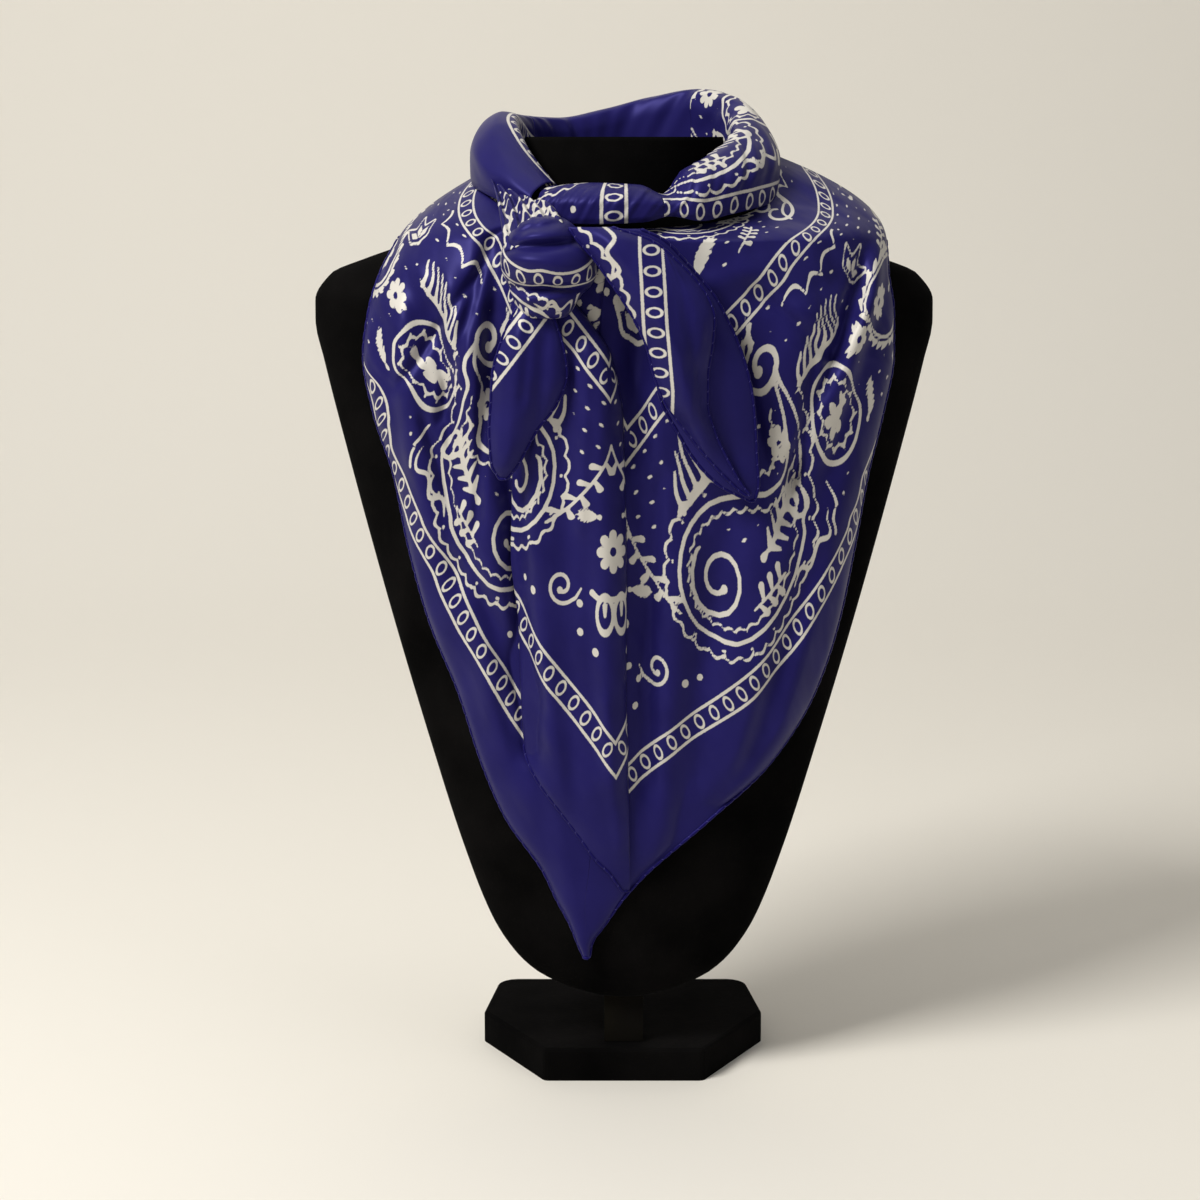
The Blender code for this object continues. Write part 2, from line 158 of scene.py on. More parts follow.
# Places and sizes in metres, power in watts: a key high on the left, a weak fill, and one that lights the wall.
add_soft_box("key_box", (-1.35, -1.15, 2.05), (0.0, 0.0, 0.35), 0.85, 61.0, "FFFDF8")
add_soft_box("fill_box", (1.6, -1.3, 1.2), (0.0, 0.0, 0.35), 1.1, 3.5, "FAFBFF")
add_soft_box("wall_box", (0.0, 0.3, 2.9), (0.0, 1.7, 0.9), 2.2, 18.0, "FFFDF8")
world = bpy.data.worlds.new("soft_room")
world.use_nodes = True
world.node_tree.nodes["Background"].inputs["Color"].default_value = linear("FFFDFA")
world.node_tree.nodes["Background"].inputs["Strength"].default_value = 0.17
bpy.context.scene.world = world
bpy.context.scene.view_settings.view_transform = "Standard"

# %% [markdown]
# ## Shapes from tables
# The frame's solids were drawn from short tables: a row for each height or angle, and a smooth reading between
# the rows. The same tables serve here, read for thousands of points at once with NumPy, so that the fine cloth
# lies exactly where its plain solid lies. The reading is a cubic that never overshoots a row.


# %% Reading a table
class Table:
    """Named columns over a first column that rises."""

    def __init__(self, columns, rows):
        self.names = columns.split()
        self.rows = np.array(sorted(rows), dtype=float)

    def slopes(self, values):
        """The curve's slope at each row: the harmonic mean of its two neighbours', and none at a turning point."""
        steps = np.diff(values) / np.diff(self.rows[:, 0])
        before = np.concatenate([steps[:1], steps])
        after = np.concatenate([steps, steps[-1:]])
        together = before * after
        total = np.where(before + after == 0.0, 1.0, before + after)
        return np.where(together > 0.0, 2.0 * together / total, 0.0)

    def at(self, stations):
        """Every column read at these stations, held at the first and last row beyond them."""
        stations = np.clip(np.asarray(stations, dtype=float), self.rows[0, 0], self.rows[-1, 0])
        low = np.clip(np.searchsorted(self.rows[:, 0], stations, side="right") - 1, 0, len(self.rows) - 2)
        span = self.rows[low + 1, 0] - self.rows[low, 0]
        t = (stations - self.rows[low, 0]) / span
        read = {}
        for column, name in enumerate(self.names):
            values = self.rows[:, column]
            slopes = self.slopes(values)
            read[name] = (
                values[low] * (1 + 2 * t) * (1 - t) ** 2
                + slopes[low] * span * t * (1 - t) ** 2
                + values[low + 1] * t * t * (3 - 2 * t)
                + slopes[low + 1] * span * t * t * (t - 1)
            )
        return SimpleNamespace(**read)


def middle_and_half(row):
    """The middle and half the width between a row's left and right edges."""
    return (row.left + row.right) / 2.0, (row.right - row.left) / 2.0


# %% [markdown]
# ## The bust
# A jeweller's or scarf seller's bust is a board or moulded shell with a flat back look, covered in black velvet,
# on a short stem and a heavy base. Its outline is a table of sections. Rings of points at close heights, bridged
# one to the next, give the shell. Velvet is cut pile: short upright fibres that swallow light from the front and
# catch a little at the edges, which is what the shader's sheen is for.

# %% The bust's sections
BUST_FULLNESS = 1.15
BUST = Table(
    "height half_width side front back",
    [
        (54, 22, -45, -57, -34),
        (58, 35, -44, -61, -31),
        (66, 51, -42.5, -64, -27),
        (78, 63.5, -40.5, -66, -24),
        (96, 75, -38, -68, -20),
        (135, 90.5, -33, -71, -14),
        (190, 108, -27, -73, -8),
        (270, 131.5, -19, -73, 0),
        (365, 157, -10, -69, 12),
        (410, 168.5, -4, -64.3, 21),
        (432, 173.3, -1, -61.6, 26),
        (443, 173.3, 0, -58.8, 29),
        (458, 164, 2, -54, 34),
        (466, 145, 2, -52, 38),
        (474, 122, 3, -50, 42),
        (486, 90, 3, -48, 47),
        (500, 66, 3, -47, 51),
        (516, 56, 3, -47, 53),
        (533, 55, 3, -47, 53),
    ],
)
print("sections of the bust:", len(BUST.rows))


def bust_depth(x, height):
    """The chest's front face at a point seen from the front."""
    section = BUST.at(height)
    share = np.minimum(np.abs(x) / section.half_width, 1.0)
    return section.side + (section.front - section.side) * (1.0 - share * share) ** (BUST_FULLNESS / 2.0)


# %% Velvet
def make_velvet(name, colour, nap_height):
    """Rayon velvet: matt black pile, with clumps of fibre a few millimetres wide and a faint sheen at the edges."""
    velvet, tree, shader = start_material(
        name, Roughness=1.0, Specular_IOR_Level=0.02, Sheen_Weight=0.012, Sheen_Roughness=0.35, Sheen_Tint="C8CCD8"
    )
    place = add_node(tree, "ShaderNodeTexCoord").outputs["Object"]
    # The model is in metres: 260 to the metre makes clumps of about 4 mm, and 18 makes brushed patches of 55 mm.
    clumps = add_node(tree, "ShaderNodeTexNoise", _0=place, Scale=260.0, Detail=5.0, Roughness=0.65).outputs[0]
    patches = add_node(tree, "ShaderNodeTexNoise", _0=place, Scale=18.0, Detail=3.0).outputs[0]
    shade = add_node(tree, "ShaderNodeMapRange", Value=patches, From_Min=0.3, From_Max=0.7, To_Min=0.0, To_Max=1.0)
    bump = add_node(tree, "ShaderNodeBump", Height=clumps, Distance=nap_height * MM, Strength=0.7).outputs["Normal"]
    feed(tree, shader, Base_Color=mixed(tree, shade.outputs[0], colour, "100F0F"), Normal=bump)
    return velvet


velvet = make_velvet("black_velvet_pile", "040404", 0.35)
print(velvet.name, "with", len(velvet.node_tree.nodes), "nodes")


# %% The velvet bust
def finish_piece(name, mesh_maker, finish):
    """A mesh as an object that rides on the part, with its finish."""
    mesh = bpy.data.meshes.new(name)
    mesh_maker.to_mesh(mesh)
    mesh_maker.free()
    mesh.materials.append(finish)
    mesh.shade_smooth()
    made = bpy.data.objects.new(name, mesh)
    bpy.context.collection.objects.link(made)
    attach(made, "root")
    return made


BUST_POINTS = 144
BUST_HEIGHTS = np.concatenate(
    [np.linspace(54, 60, 7), np.linspace(62, 120, 20), np.linspace(126, 430, 52), np.linspace(433, 533, 44)]
)


def bust_ring(height):
    """One closed ring of the bust's section, in metres: its front and its back each have their own depth."""
    section = BUST.at(height)
    turn = 2.0 * pi * (np.arange(BUST_POINTS) + 0.5) / BUST_POINTS
    reach = np.where(np.sin(turn) > 0.0, section.back, section.front)
    depth = section.side + (reach - section.side) * np.abs(np.sin(turn)) ** BUST_FULLNESS
    return np.column_stack([section.half_width * np.cos(turn), depth, np.full(BUST_POINTS, height)]) * MM


def make_bust():
    """The bust's shell: rings bridged one to the next, and closed at the foot and the neck."""
    bm = bmesh.new()
    rings = []
    for height in BUST_HEIGHTS:
        loop = [bm.verts.new(point) for point in bust_ring(height)]
        rings.append([bm.edges.new(pair) for pair in zip(loop, loop[1:] + loop[:1])])
    for lower, upper in zip(rings, rings[1:]):
        bmesh.ops.bridge_loops(bm, edges=lower + upper)
    for end in (rings[0], rings[-1]):
        cap = bmesh.ops.holes_fill(bm, edges=end, sides=0)["faces"]
        bmesh.ops.inset_region(bm, faces=cap, thickness=1.5 * MM)
    bmesh.ops.recalc_face_normals(bm, faces=bm.faces)
    bust = finish_piece("velvet_bust", bm, velvet)
    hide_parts("bust")
    print("velvet_bust:", len(bust.data.polygons), "faces")


make_bust()
# The stem's velvet is a lighter copy of the bust's: its colour holds both its wear and a painted sheen, the grey
# that its shinier surface catches from the lamps.
wear_and_sheen_velvet = make_velvet("black_velvet_pile_with_wear_and_sheen", "16140F", 0.15)
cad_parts["base"].material_slots[0].material = velvet
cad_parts["stem"].material_slots[0].material = wear_and_sheen_velvet


# %% [markdown]
# ## How the cloth lies
# Each stretch of the scarf follows a table: its edges at each height, and how deep it stands. `across` and `up`
# are shares from 0 to 1 over a stretch, and each surface function turns them into points. On top come the folds.
# A fold is a row too: where it starts and ends as seen from the front, how wide it is and how far it rises.
# Silk is thin and slippery, so its folds are long, soft and uneven, and they run from where it is held.

# %% Tables of the cloth
# The cloth's wall in the solids, the gap kept where two of them meet, and the gap to the bust.
WALL = 1.2
SEAM = 0.4
SKIN_GAP = 0.8
# Where the chest layer turns into the yoke, the yoke's share of its grid, and how far up a wing its bend is full.
YOKE_LINE = 478.0
YOKE_SHARE = 0.26
WING_EASE = 0.5
# How full the raised forms are, and how closely they sit.
PLEAT_EDGE = 0.6
PLEAT_SEAT = 0.9
PLEAT_CRISP = 0.55
TAIL_BULGE = 0.8
CROSSING_SWELL = 2.0
KNOT_SEAT = 2.8
KNOT_FULLNESS = 0.8
KNOT_BACK_SWELL = 1.5
KNOT_CLOSING = 0.03

# The lower layer on the chest: its outline seen from the front, and its depth at both sides and the middle.
UNDER = Table(
    "height left right y_left y_front y_right",
    [
        (82, -22.5, -19.5, -72, -74, -72),
        (90, -26, -18, -71, -75, -71),
        (100, -30, -11, -70, -75, -70),
        (115, -38, -1, -68, -76, -70),
        (130, -45, 12, -66, -77, -68),
        (160, -66, 47, -62, -78, -63),
        (190, -79, 81, -59, -79, -58),
        (230, -92, 106, -55, -80, -53),
        (270, -108, 119, -52, -81, -50),
        (310, -119, 127, -48, -83, -47),
        (350, -127, 134, -45, -85, -44),
        (385, -138, 142, -43, -87, -43),
        (415, -143, 147, -41, -88, -42),
        (440, -140, 147, -36, -88, -38),
        (460, -134, 145, -27, -87, -27),
        (478, -125, 145, -14, -85, -12),
    ],
)

# Where the yoke of that layer slips under the collar, by the angle round the neck.
YOKE = Table(
    "angle radius height rise",
    [
        (180, 84, 511, 14),
        (200, 83, 504, 12),
        (220, 80, 494, 8),
        (240, 75, 487, 4),
        (270, 74, 484.5, 3),
        (285, 74, 485.5, 3),
        (300, 76, 487, 4),
        (320, 80, 491, 8),
        (335, 85, 499, 12),
        (350, 85, 514, 18),
        (360, 84, 523, 22),
    ],
)

# The hem behind each shoulder, from the outer corner (0) to the nape (1).
HEM_RIGHT = Table(
    "along x y height",
    [(0, 141, 14, 470), (0.25, 124, 36, 458), (0.5, 92, 44, 452), (0.75, 50, 57, 466), (1, 8, 84, 493)],
)
HEM_LEFT = Table(
    "along x y height",
    [(0, -124, 6, 478), (0.25, -115, 31, 473.5), (0.5, -88, 45, 461), (0.75, -48, 57, 468), (1, 4, 84, 494)],
)

# The upper layer's raised pleat below the knot, with its lift off the lower layer.
TOP = Table(
    "height left right lift",
    [
        (121, -1, 3, 1.2),
        (132, -8, 3, 1.3),
        (141, -16.5, 3, 2.4),
        (152, -24, 3, 4),
        (170, -37, 3, 6),
        (185, -48, 2, 7),
        (200, -55, 2, 7.5),
        (230, -57, 1, 8),
        (270, -58, 1, 9),
        (310, -62, 1, 9.5),
        (350, -61, 0, 9.5),
        (385, -60, -1, 9.5),
        (420, -59, -8, 9),
        (436, -58, -18, 7),
        (450, -50, -30, 5),
    ],
)

# The rolled ends round the neck, by the angle from +X, seen from above.
COLLAR = Table(
    "angle inner outer low top",
    [
        (-125, 62, 84, 489, 507),
        (-105, 61, 86, 487.5, 509),
        (-84, 61, 86, 488.5, 508),
        (-73, 62, 83, 491.5, 503),
        (-62, 61, 88, 489, 516),
        (-50, 60, 88, 492, 522),
        (-25, 60, 89, 497, 534),
        (0, 59, 86, 501, 545),
        (25, 58, 85, 505, 556),
        (50, 58, 82, 507, 560),
        (75, 58, 78, 505, 556),
        (100, 58, 77, 503, 549),
        (125, 58, 77, 503, 544),
        (150, 58, 80, 504, 545),
        (175, 58, 85, 506, 547),
        (195, 59, 87, 505, 541),
        (215, 60, 87, 500, 526),
        (235, 61, 85, 493, 508),
    ],
)

# The roll's section, from its inner edge over the rim to its lower lip, as shares of its breadth and height.
ROLL = Table(
    "along breadth height",
    [
        (0.0, 0.02, 0.30),
        (0.22, 0.00, 0.78),
        (0.36, 0.14, 0.97),
        (0.48, 0.38, 1.00),
        (0.62, 0.74, 0.86),
        (0.80, 1.00, 0.48),
        (0.92, 0.99, 0.16),
        (1.0, 0.93, 0.00),
    ],
)

# The angles at which the collar's stretches meet, from the front twist to the left roll's end.
COLLAR_MEETS = [-125.0, -75.75, 48.3, 150.3, 234.0]

# The band that crosses over behind the neck.
CROSSING = Table(
    "angle middle half_height",
    [(54, 543, 1.5), (64, 540, 8), (80, 534, 11), (98, 526, 12), (114, 519, 8), (126, 514, 1.5)],
)

KNOT = Table(
    "height left right front",
    [
        (438, -54, -32, -104),
        (443, -57, -28, -110),
        (451, -60, -23, -113),
        (456, -62, -18, -113.5),
        (463, -65, -15, -118),
        (470, -66, -15, -119),
        (477, -64, -18, -116),
        (482, -62, -22, -115),
        (488, -56, -28, -110),
        (493, -48, -36, -102),
    ],
)

TAIL_RIGHT_FRONT = Table(
    "height left right depth bulge",
    [
        (345, 64, 67, -93.5, 0),
        (350, 58, 62.5, -94.8, 0),
        (365, 44, 54, -98, 1.2),
        (380, 32, 47, -101, 4),
        (395, 21, 43, -104, 8),
        (410, 15, 43, -106, 9),
        (425, 11, 45, -108, 10),
        (440, 4, 46, -109, 10),
        (450, -2, 43, -109, 10),
        (460, -9, 36, -109, 9),
        (470, -16, 26, -109, 8),
        (480, -25, 13, -108, 6),
        (487, -30, -8, -106, 3),
    ],
)
TAIL_RIGHT_BACK = Table(
    "height left right depth bulge",
    [
        (341.5, 66.5, 69, -89.5, 1),
        (350, 50, 71, -90.5, 2),
        (365, 36, 70, -91.5, 3),
        (380, 27, 69, -93.5, 4),
        (395, 19, 67.5, -95.5, 5),
        (410, 16, 64.5, -97, 6),
        (425, 13, 59.5, -98, 7),
        (440, 7, 52.5, -99, 7),
        (450, 1, 47, -100, 7),
        (460, -5, 39, -100, 6),
        (470, -8, 30, -101.5, 5),
        (480, -8, 20, -103.5, 3),
        (486, -5, 7, -104, 1),
    ],
)
TAIL_LEFT = Table(
    "height left right depth bulge",
    [
        (354, -67, -63, -94, 1),
        (362, -71, -57, -96, 3),
        (380, -72, -47, -97, 6),
        (395, -71, -36, -98, 8),
        (410, -70, -31, -99, 9),
        (425, -66, -33, -99, 8),
        (437.3, -61, -37, -99, 6),
        (450, -54, -42, -97, 4),
    ],
)

# %% Tables of the folds
FOLD_COLUMNS = ("x_top", "z_top", "x_bottom", "z_bottom", "half_width", "rise")
FOLDS = {
    "front_under": [
        (-104, 438, -92, 352, 7, -7.5),
        (-122, 430, -112, 330, 9, 3),
        (-90, 300, -54, 236, 8, -6),
        (-75, 250, -50, 180, 10, 3),
        (141, 470, 98, 372, 7, 9),
        (126, 452, 90, 352, 6, -8),
        (60, 470, 100, 440, 12, 4),
        (52, 330, 30, 190, 14, -2.5),
        (84, 300, 62, 170, 9, 4),
        (20, 470, 70, 400, 10, -3),
        (-70, 474, -62, 385, 7, -9),
        (-65, 400, -52, 205, 6, -8),
        (8, 400, 12, 190, 7, -4),
        (-86, 420, -72, 300, 8, 3),
        (30, 300, 20, 160, 10, 2.5),
        (12, 462, 0, 372, 9, -7),
        (96, 440, 62, 250, 12, 4),
        (60, 340, 34, 165, 10, -4),
        (120, 340, 86, 210, 10, 3.5),
        (102, 300, 66, 190, 6, -3),
        (-100, 390, -72, 240, 9, 4),
        (-112, 420, -92, 300, 6, -3),
        (-84, 320, -60, 200, 6, -3.5),
        (-92, 455, -78, 400, 6, 3),
        (-76, 468, -100, 384, 3.4, -3.5),
        (-80, 460, -120, 404, 3.2, -3.0),
        (-72, 440, -80, 330, 3.4, -3.2),
        (-108, 380, -86, 310, 3.2, -2.8),
        (70, 452, 112, 416, 4.0, -3.0),
        (60, 420, 84, 330, 4.0, -3.0),
        (100, 410, 88, 330, 3.4, -3.2),
        (18, 350, 12, 240, 4.0, -2.4),
        (-101, 446, -95, 372, 3, -2.2),
        (-96, 452, -84, 392, 4, 1.6),
        (-116, 456, -104, 398, 4, -1.4),
        (-128, 408, -121, 352, 4, -1.2),
        (-112, 350, -96, 300, 6, 1.4),
        (-98, 320, -70, 262, 5, 1.5),
        (-84, 264, -60, 210, 5, -1.6),
        (-58, 236, -40, 150, 7, -1.5),
        (-40, 170, -26, 100, 6, 1.2),
        (128, 466, 104, 398, 3, -2.4),
        (134, 444, 108, 366, 3.5, 1.8),
        (112, 430, 92, 376, 4, 1.5),
        (118, 382, 98, 318, 6, -1.6),
        (104, 352, 96, 262, 7, 1.5),
        (66, 392, 58, 300, 9, 1.2),
        (40, 380, 44, 280, 8, -1.3),
        (22, 300, 10, 180, 7, -1.5),
        (50, 250, 20, 140, 8, 1.4),
        (80, 214, 40, 150, 7, -1.2),
        (34, 452, 84, 470, 7, 2.0),
        (44, 440, 110, 456, 7, -1.6),
        (-118, 470, -96, 440, 6, 1.6),
    ],
    "front_top": [
        (-12, 410, -8, 190, 8, 3.5),
        (-34, 390, -28, 190, 8, -2.5),
        (-50, 340, -44, 220, 7, 1.5),
        (-20, 420, -24, 330, 4, 1.6),
        (-28, 424, -38, 350, 4, -1.8),
        (-42, 420, -50, 370, 4, 1.4),
        (-20, 300, -16, 200, 5, -1.2),
        (-44, 250, -34, 180, 5, 1.3),
        (-10, 230, -3, 150, 4, 1.2),
    ],
    "tail_right_front": [
        (10, 460, 34, 400, 6, 1.5),
        (28, 455, 42, 400, 4, -1.5),
        (-6, 474, 22, 430, 4, 1.6),
        (-14, 478, 14, 446, 3, -1.6),
        (20, 440, 40, 370, 5, 1.0),
    ],
    "tail_right_back": [
        (40, 440, 56, 370, 6, -1.4),
    ],
    "tail_left": [
        (-42, 432, -46, 385, 5, -3),
        (-58, 430, -62, 370, 6, 1.5),
        (-50, 434, -54, 400, 3, -1.2),
        (-64, 420, -68, 372, 3, 0.9),
    ],
    "knot": [
        (-64, 476, -18, 480, 2.6, -5.0),
        (-62, 455, -20, 456, 2.6, -5.5),
        (-45, 448, -42, 438, 4, -2),
        (-60, 484, -30, 490, 1.8, -2.0),
        (-46, 491, -58, 480, 1.8, -1.8),
        (-30, 490, -22, 482, 1.8, -1.6),
        (-58, 471, -22, 466, 3, 1.0),
        (-60, 462, -20, 461, 2, -0.7),
        (-56, 449, -26, 451, 2, 0.9),
        (-52, 446, -34, 442, 2, -1.1),
    ],
}
print("folds:", {name: len(rows) for name, rows in FOLDS.items()})


def fold_height(name, x, height):
    """How far the folds of a stretch stand proud at points seen from the front."""
    total = np.zeros_like(np.asarray(x, dtype=float))
    for row in FOLDS[name]:
        fold = SimpleNamespace(**dict(zip(FOLD_COLUMNS, row)))
        run_x = fold.x_bottom - fold.x_top
        run_z = fold.z_bottom - fold.z_top
        length = np.hypot(run_x, run_z)
        along = ((x - fold.x_top) * run_x + (height - fold.z_top) * run_z) / length**2
        across = ((x - fold.x_top) * run_z - (height - fold.z_top) * run_x) / length
        outside = np.maximum(0.0, np.maximum(-along, along - 1.0)) * length / (2.0 * fold.half_width)
        total += fold.rise * np.exp(-((across / fold.half_width) ** 2) - outside**2)
    return total


# %% Surfaces of the chest layers
def under_depth(x, height):
    """The lower layer's outer face at points seen from the front, kept clear of the chest."""
    row = UNDER.at(height)
    middle, half = middle_and_half(row)
    share = np.clip((x - middle) / half, -1.0, 1.0)
    side = row.y_left + (row.y_right - row.y_left) * (share + 1.0) / 2.0
    swell = np.sqrt(1.0 - share * share)
    depth = side + (row.y_front - side) * swell
    depth -= fold_height("front_under", x, height) * np.minimum(1.0, 2.0 * swell)
    return np.minimum(depth, bust_depth(x, height) - SKIN_GAP - WALL)


EDGE_CROWD = 0.7


def turned(across):
    """Shares across a panel as a turn from 0 to pi, with points crowded gently towards both edges."""
    return EDGE_CROWD * np.arccos(1.0 - 2.0 * across) + (1.0 - EDGE_CROWD) * pi * across


def under_point(turn, height):
    """Points of the lower layer's outer face, by their turn from its left edge to its right."""
    row = UNDER.at(height)
    middle, half = middle_and_half(row)
    x = middle - half * np.cos(turn)
    return np.column_stack([x, under_depth(x, height), height + 0.0 * x])


def yoke_point(turn, up):
    """From the chest layer's upper row (up 0) to the line under the collar (up 1), over a soft crest."""
    start = under_point(turn, np.full_like(turn, YOKE_LINE))
    climb = start - under_point(turn, np.full_like(turn, YOKE_LINE - 1.0))
    angle = pi + turn
    row = YOKE.at(np.degrees(angle))
    end = np.column_stack([row.radius * np.cos(angle), row.radius * np.sin(angle), row.height])
    crest = start + climb * row.rise[:, None]
    up = up[:, None]
    return start * (1 - up) ** 2 + crest * 2 * up * (1 - up) + end * up * up


def under_surface(across, up):
    """The whole lower layer: the chest up to the yoke line, then the yoke."""
    lowest = UNDER.rows[0, 0]
    turn = turned(across)
    share = np.clip(up / (1.0 - YOKE_SHARE), 0.0, 1.0)
    chest = under_point(turn, lowest + (YOKE_LINE - lowest) * share)
    yoke = yoke_point(turn, np.clip((up - 1.0 + YOKE_SHARE) / YOKE_SHARE, 0.0, 1.0))
    return np.where((up > 1.0 - YOKE_SHARE)[:, None], yoke, chest)


def wing_surface(side, hem):
    """From the yoke's side end, over the shoulder, to the hem behind."""

    def surface(across, up):
        back = across if side > 0.5 else 1.0 - across
        start = yoke_point(np.full_like(across, pi * side), up)
        row = hem.at(up)
        end = np.column_stack([row.x, row.y, row.height])
        seam = 2.0 * SEAM / (end[:, 1] - start[:, 1])
        turn = seam + (pi / 2.0 - seam) * back
        bend = np.minimum(1.0, up / WING_EASE)
        reach = (seam + (1.0 - seam) * back) * (1.0 - bend) + np.sin(turn) * bend
        fall = back * (1.0 - bend) + (1.0 - np.cos(turn)) * bend
        share = np.column_stack([fall, reach, fall])
        return start + (end - start) * share

    return surface


def top_depth(x, height):
    """The upper layer's outer face, a raised pleat over the lower layer."""
    row = TOP.at(height)
    middle, half = middle_and_half(row)
    share = np.clip((x - middle) / half, -1.0, 1.0)
    soft = (1.0 - share * share) ** PLEAT_EDGE
    crisp = np.sqrt(1.0 - np.abs(share) ** 9)
    swell = np.where(share > 0.0, (1.0 - PLEAT_CRISP) * soft + PLEAT_CRISP * crisp, soft)
    lift = (row.lift - WALL) * swell + fold_height("front_top", x, height) * swell
    return under_depth(x, height) - WALL - PLEAT_SEAT - np.maximum(lift, 0.0)


def panel_surface(table, depth):
    """A panel seen from the front, between the left and right edges of its table."""
    lowest, highest = table.rows[0, 0], table.rows[-1, 0]

    def surface(across, up):
        height = lowest + (highest - lowest) * up
        middle, half = middle_and_half(table.at(height))
        x = middle - half * np.cos(turned(across))
        return np.column_stack([x, depth(x, height), height])

    return surface


def tail_depth(name, table):
    """How deep a tail's face lies: its table's depth, its bulge and its folds."""

    def depth(x, height):
        row = table.at(height)
        middle, half = middle_and_half(row)
        share = np.minimum(np.abs(x - middle) / half, 1.0)
        swell = (1.0 - share * share) ** TAIL_BULGE
        return row.depth - row.bulge * swell - fold_height(name, x, height) * swell

    return depth


# %% Surfaces round the neck
def collar_point(angle, along, outset=0.0):
    """Points of the rolled ends: an angle round the neck, and a share along the roll's section."""
    row = COLLAR.at(angle)
    profile = ROLL.at(along)
    crease = collar_creases(angle, along)
    radius = row.inner + (row.outer - row.inner) * profile.breadth + outset + crease
    height = row.low + (row.top - row.low) * profile.height
    turn = np.radians(angle)
    return np.column_stack([radius * np.cos(turn), radius * np.sin(turn), height])


COLLAR_CREASES = Table(
    "angle spacing slant depth",
    [
        (-125, 9, 30, 1.4),
        (-76, 13, 40, 1.2),
        (0, 26, 60, 1.6),
        (60, 34, 70, 1.5),
        (150, 22, -60, 1.3),
        (235, 30, -50, 1.0),
    ],
)


def collar_creases(angle, along):
    """Soft ropy creases that slant round the roll, deepest on its outer face.

    Two waves whose lengths don't divide each other, one of them bent by a third, never repeat as a row would."""
    row = COLLAR_CREASES.at(angle)
    phase = (angle + row.slant * along) * 2.0 * pi / row.spacing
    wave = np.sin(phase + 1.3 * np.sin(0.41 * phase)) + 0.45 * np.sin(2.3 * phase + 2.0 * along)
    edge = np.sin(pi * np.clip(along, 0.0, 1.0)) ** 0.7
    return -0.5 * row.depth * edge * (1.0 - wave)


def collar_surface(start, end):
    """The roll between two angles, from its lower lip (up 0) over the rim to its inner edge (up 1)."""

    def surface(across, up):
        return collar_point(start + (end - start) * across, 1.0 - up)

    return surface


# Stations down the roll's outer side, from its crest to its lip.
ROLL_OUTSIDE = np.linspace(0.48, 1.0, 61)
CROSSING_FULL = 8.0


def crossing_surface(across, up):
    """The band behind the neck, laid on the back roll and tapered into it at both ends."""
    first, last = CROSSING.rows[0, 0], CROSSING.rows[-1, 0]
    angle = first + (last - first) * across
    row = CROSSING.at(angle)
    collar = COLLAR.at(angle)
    height = row.middle + row.half_height * (2.0 * up - 1.0)
    share = (height - collar.low) / (collar.top - collar.low)
    along = np.interp(-share, -ROLL.at(ROLL_OUTSIDE).height, ROLL_OUTSIDE)
    shown = np.clip(row.half_height / CROSSING_FULL, 0.0, 1.0)
    outset = (WALL + SEAM + CROSSING_SWELL * (1.0 - (2.0 * up - 1.0) ** 2)) * shown
    points = collar_point(angle, along, outset)
    points[:, 2] = height
    return points


def knot_surface(across, up):
    """The knot as one wound form: a turn round it for across, and its height for up."""
    height = KNOT.rows[0, 0] + (KNOT.rows[-1, 0] - KNOT.rows[0, 0]) * up
    row = KNOT.at(height)
    middle, half = middle_and_half(row)
    back = UNDER.at(YOKE_LINE).y_front - KNOT_SEAT
    angle = 2.0 * pi * across
    closing = np.sqrt(np.clip(np.minimum(up, 1.0 - up) / KNOT_CLOSING, 0.0, 1.0))
    x = middle + half * np.cos(angle) * closing
    rise = np.abs(np.sin(angle)) ** KNOT_FULLNESS
    front = back + (row.front - fold_height("knot", x, height) - back) * rise * closing
    behind = back + KNOT_BACK_SWELL * np.sqrt(np.abs(np.sin(angle))) * closing
    y = np.where(np.sin(angle) < 0.0, front, behind)
    return np.column_stack([x, y, height])


# %% [markdown]
# ## The printed design
# The silk is dyed blue, with a discharge print that leaves the cloth's own warm white. A bandana print is laid out
# on the flat square: a plain border, a band of rings between two lines, a wide ring of paisleys, a second band, and
# the field. The design here is drawn as distances. For every point of the flat cloth, each motif says how far it is
# from the nearest edge of its white, and less than nothing means inside. Distances add up simply, and they stay
# crisp when the shader cuts them at zero, which an image of the same size would not.

# %% Distances to drawn shapes
CUT = 890.0
FAR = 1e3


def chain(x, y, nodes):
    """How far points lie from a stroke through nodes of (x, y, radius), the length along it, and the side."""
    best, length_at, side = np.full(x.shape, FAR), np.zeros(x.shape), np.ones(x.shape)
    done = 0.0
    for (x0, y0, r0), (x1, y1, r1) in zip(nodes, nodes[1:]):
        dx, dy = x1 - x0, y1 - y0
        length = np.hypot(dx, dy) + 1e-6
        t = np.clip(((x - x0) * dx + (y - y0) * dy) / length**2, 0.0, 1.0)
        gap = np.hypot(x - x0 - t * dx, y - y0 - t * dy) - (r0 + t * (r1 - r0))
        nearer = gap < best
        best = np.where(nearer, gap, best)
        length_at = np.where(nearer, done + t * length, length_at)
        side = np.where(nearer, np.sign(dx * (y - y0) - dy * (x - x0)), side)
        done += length
    return best, length_at, side


def stroke(x, y, nodes):
    """The distance to a stroke alone."""
    return chain(x, y, nodes)[0]


def union(*shapes):
    """The distance to several shapes taken together."""
    return np.minimum.reduce(shapes)


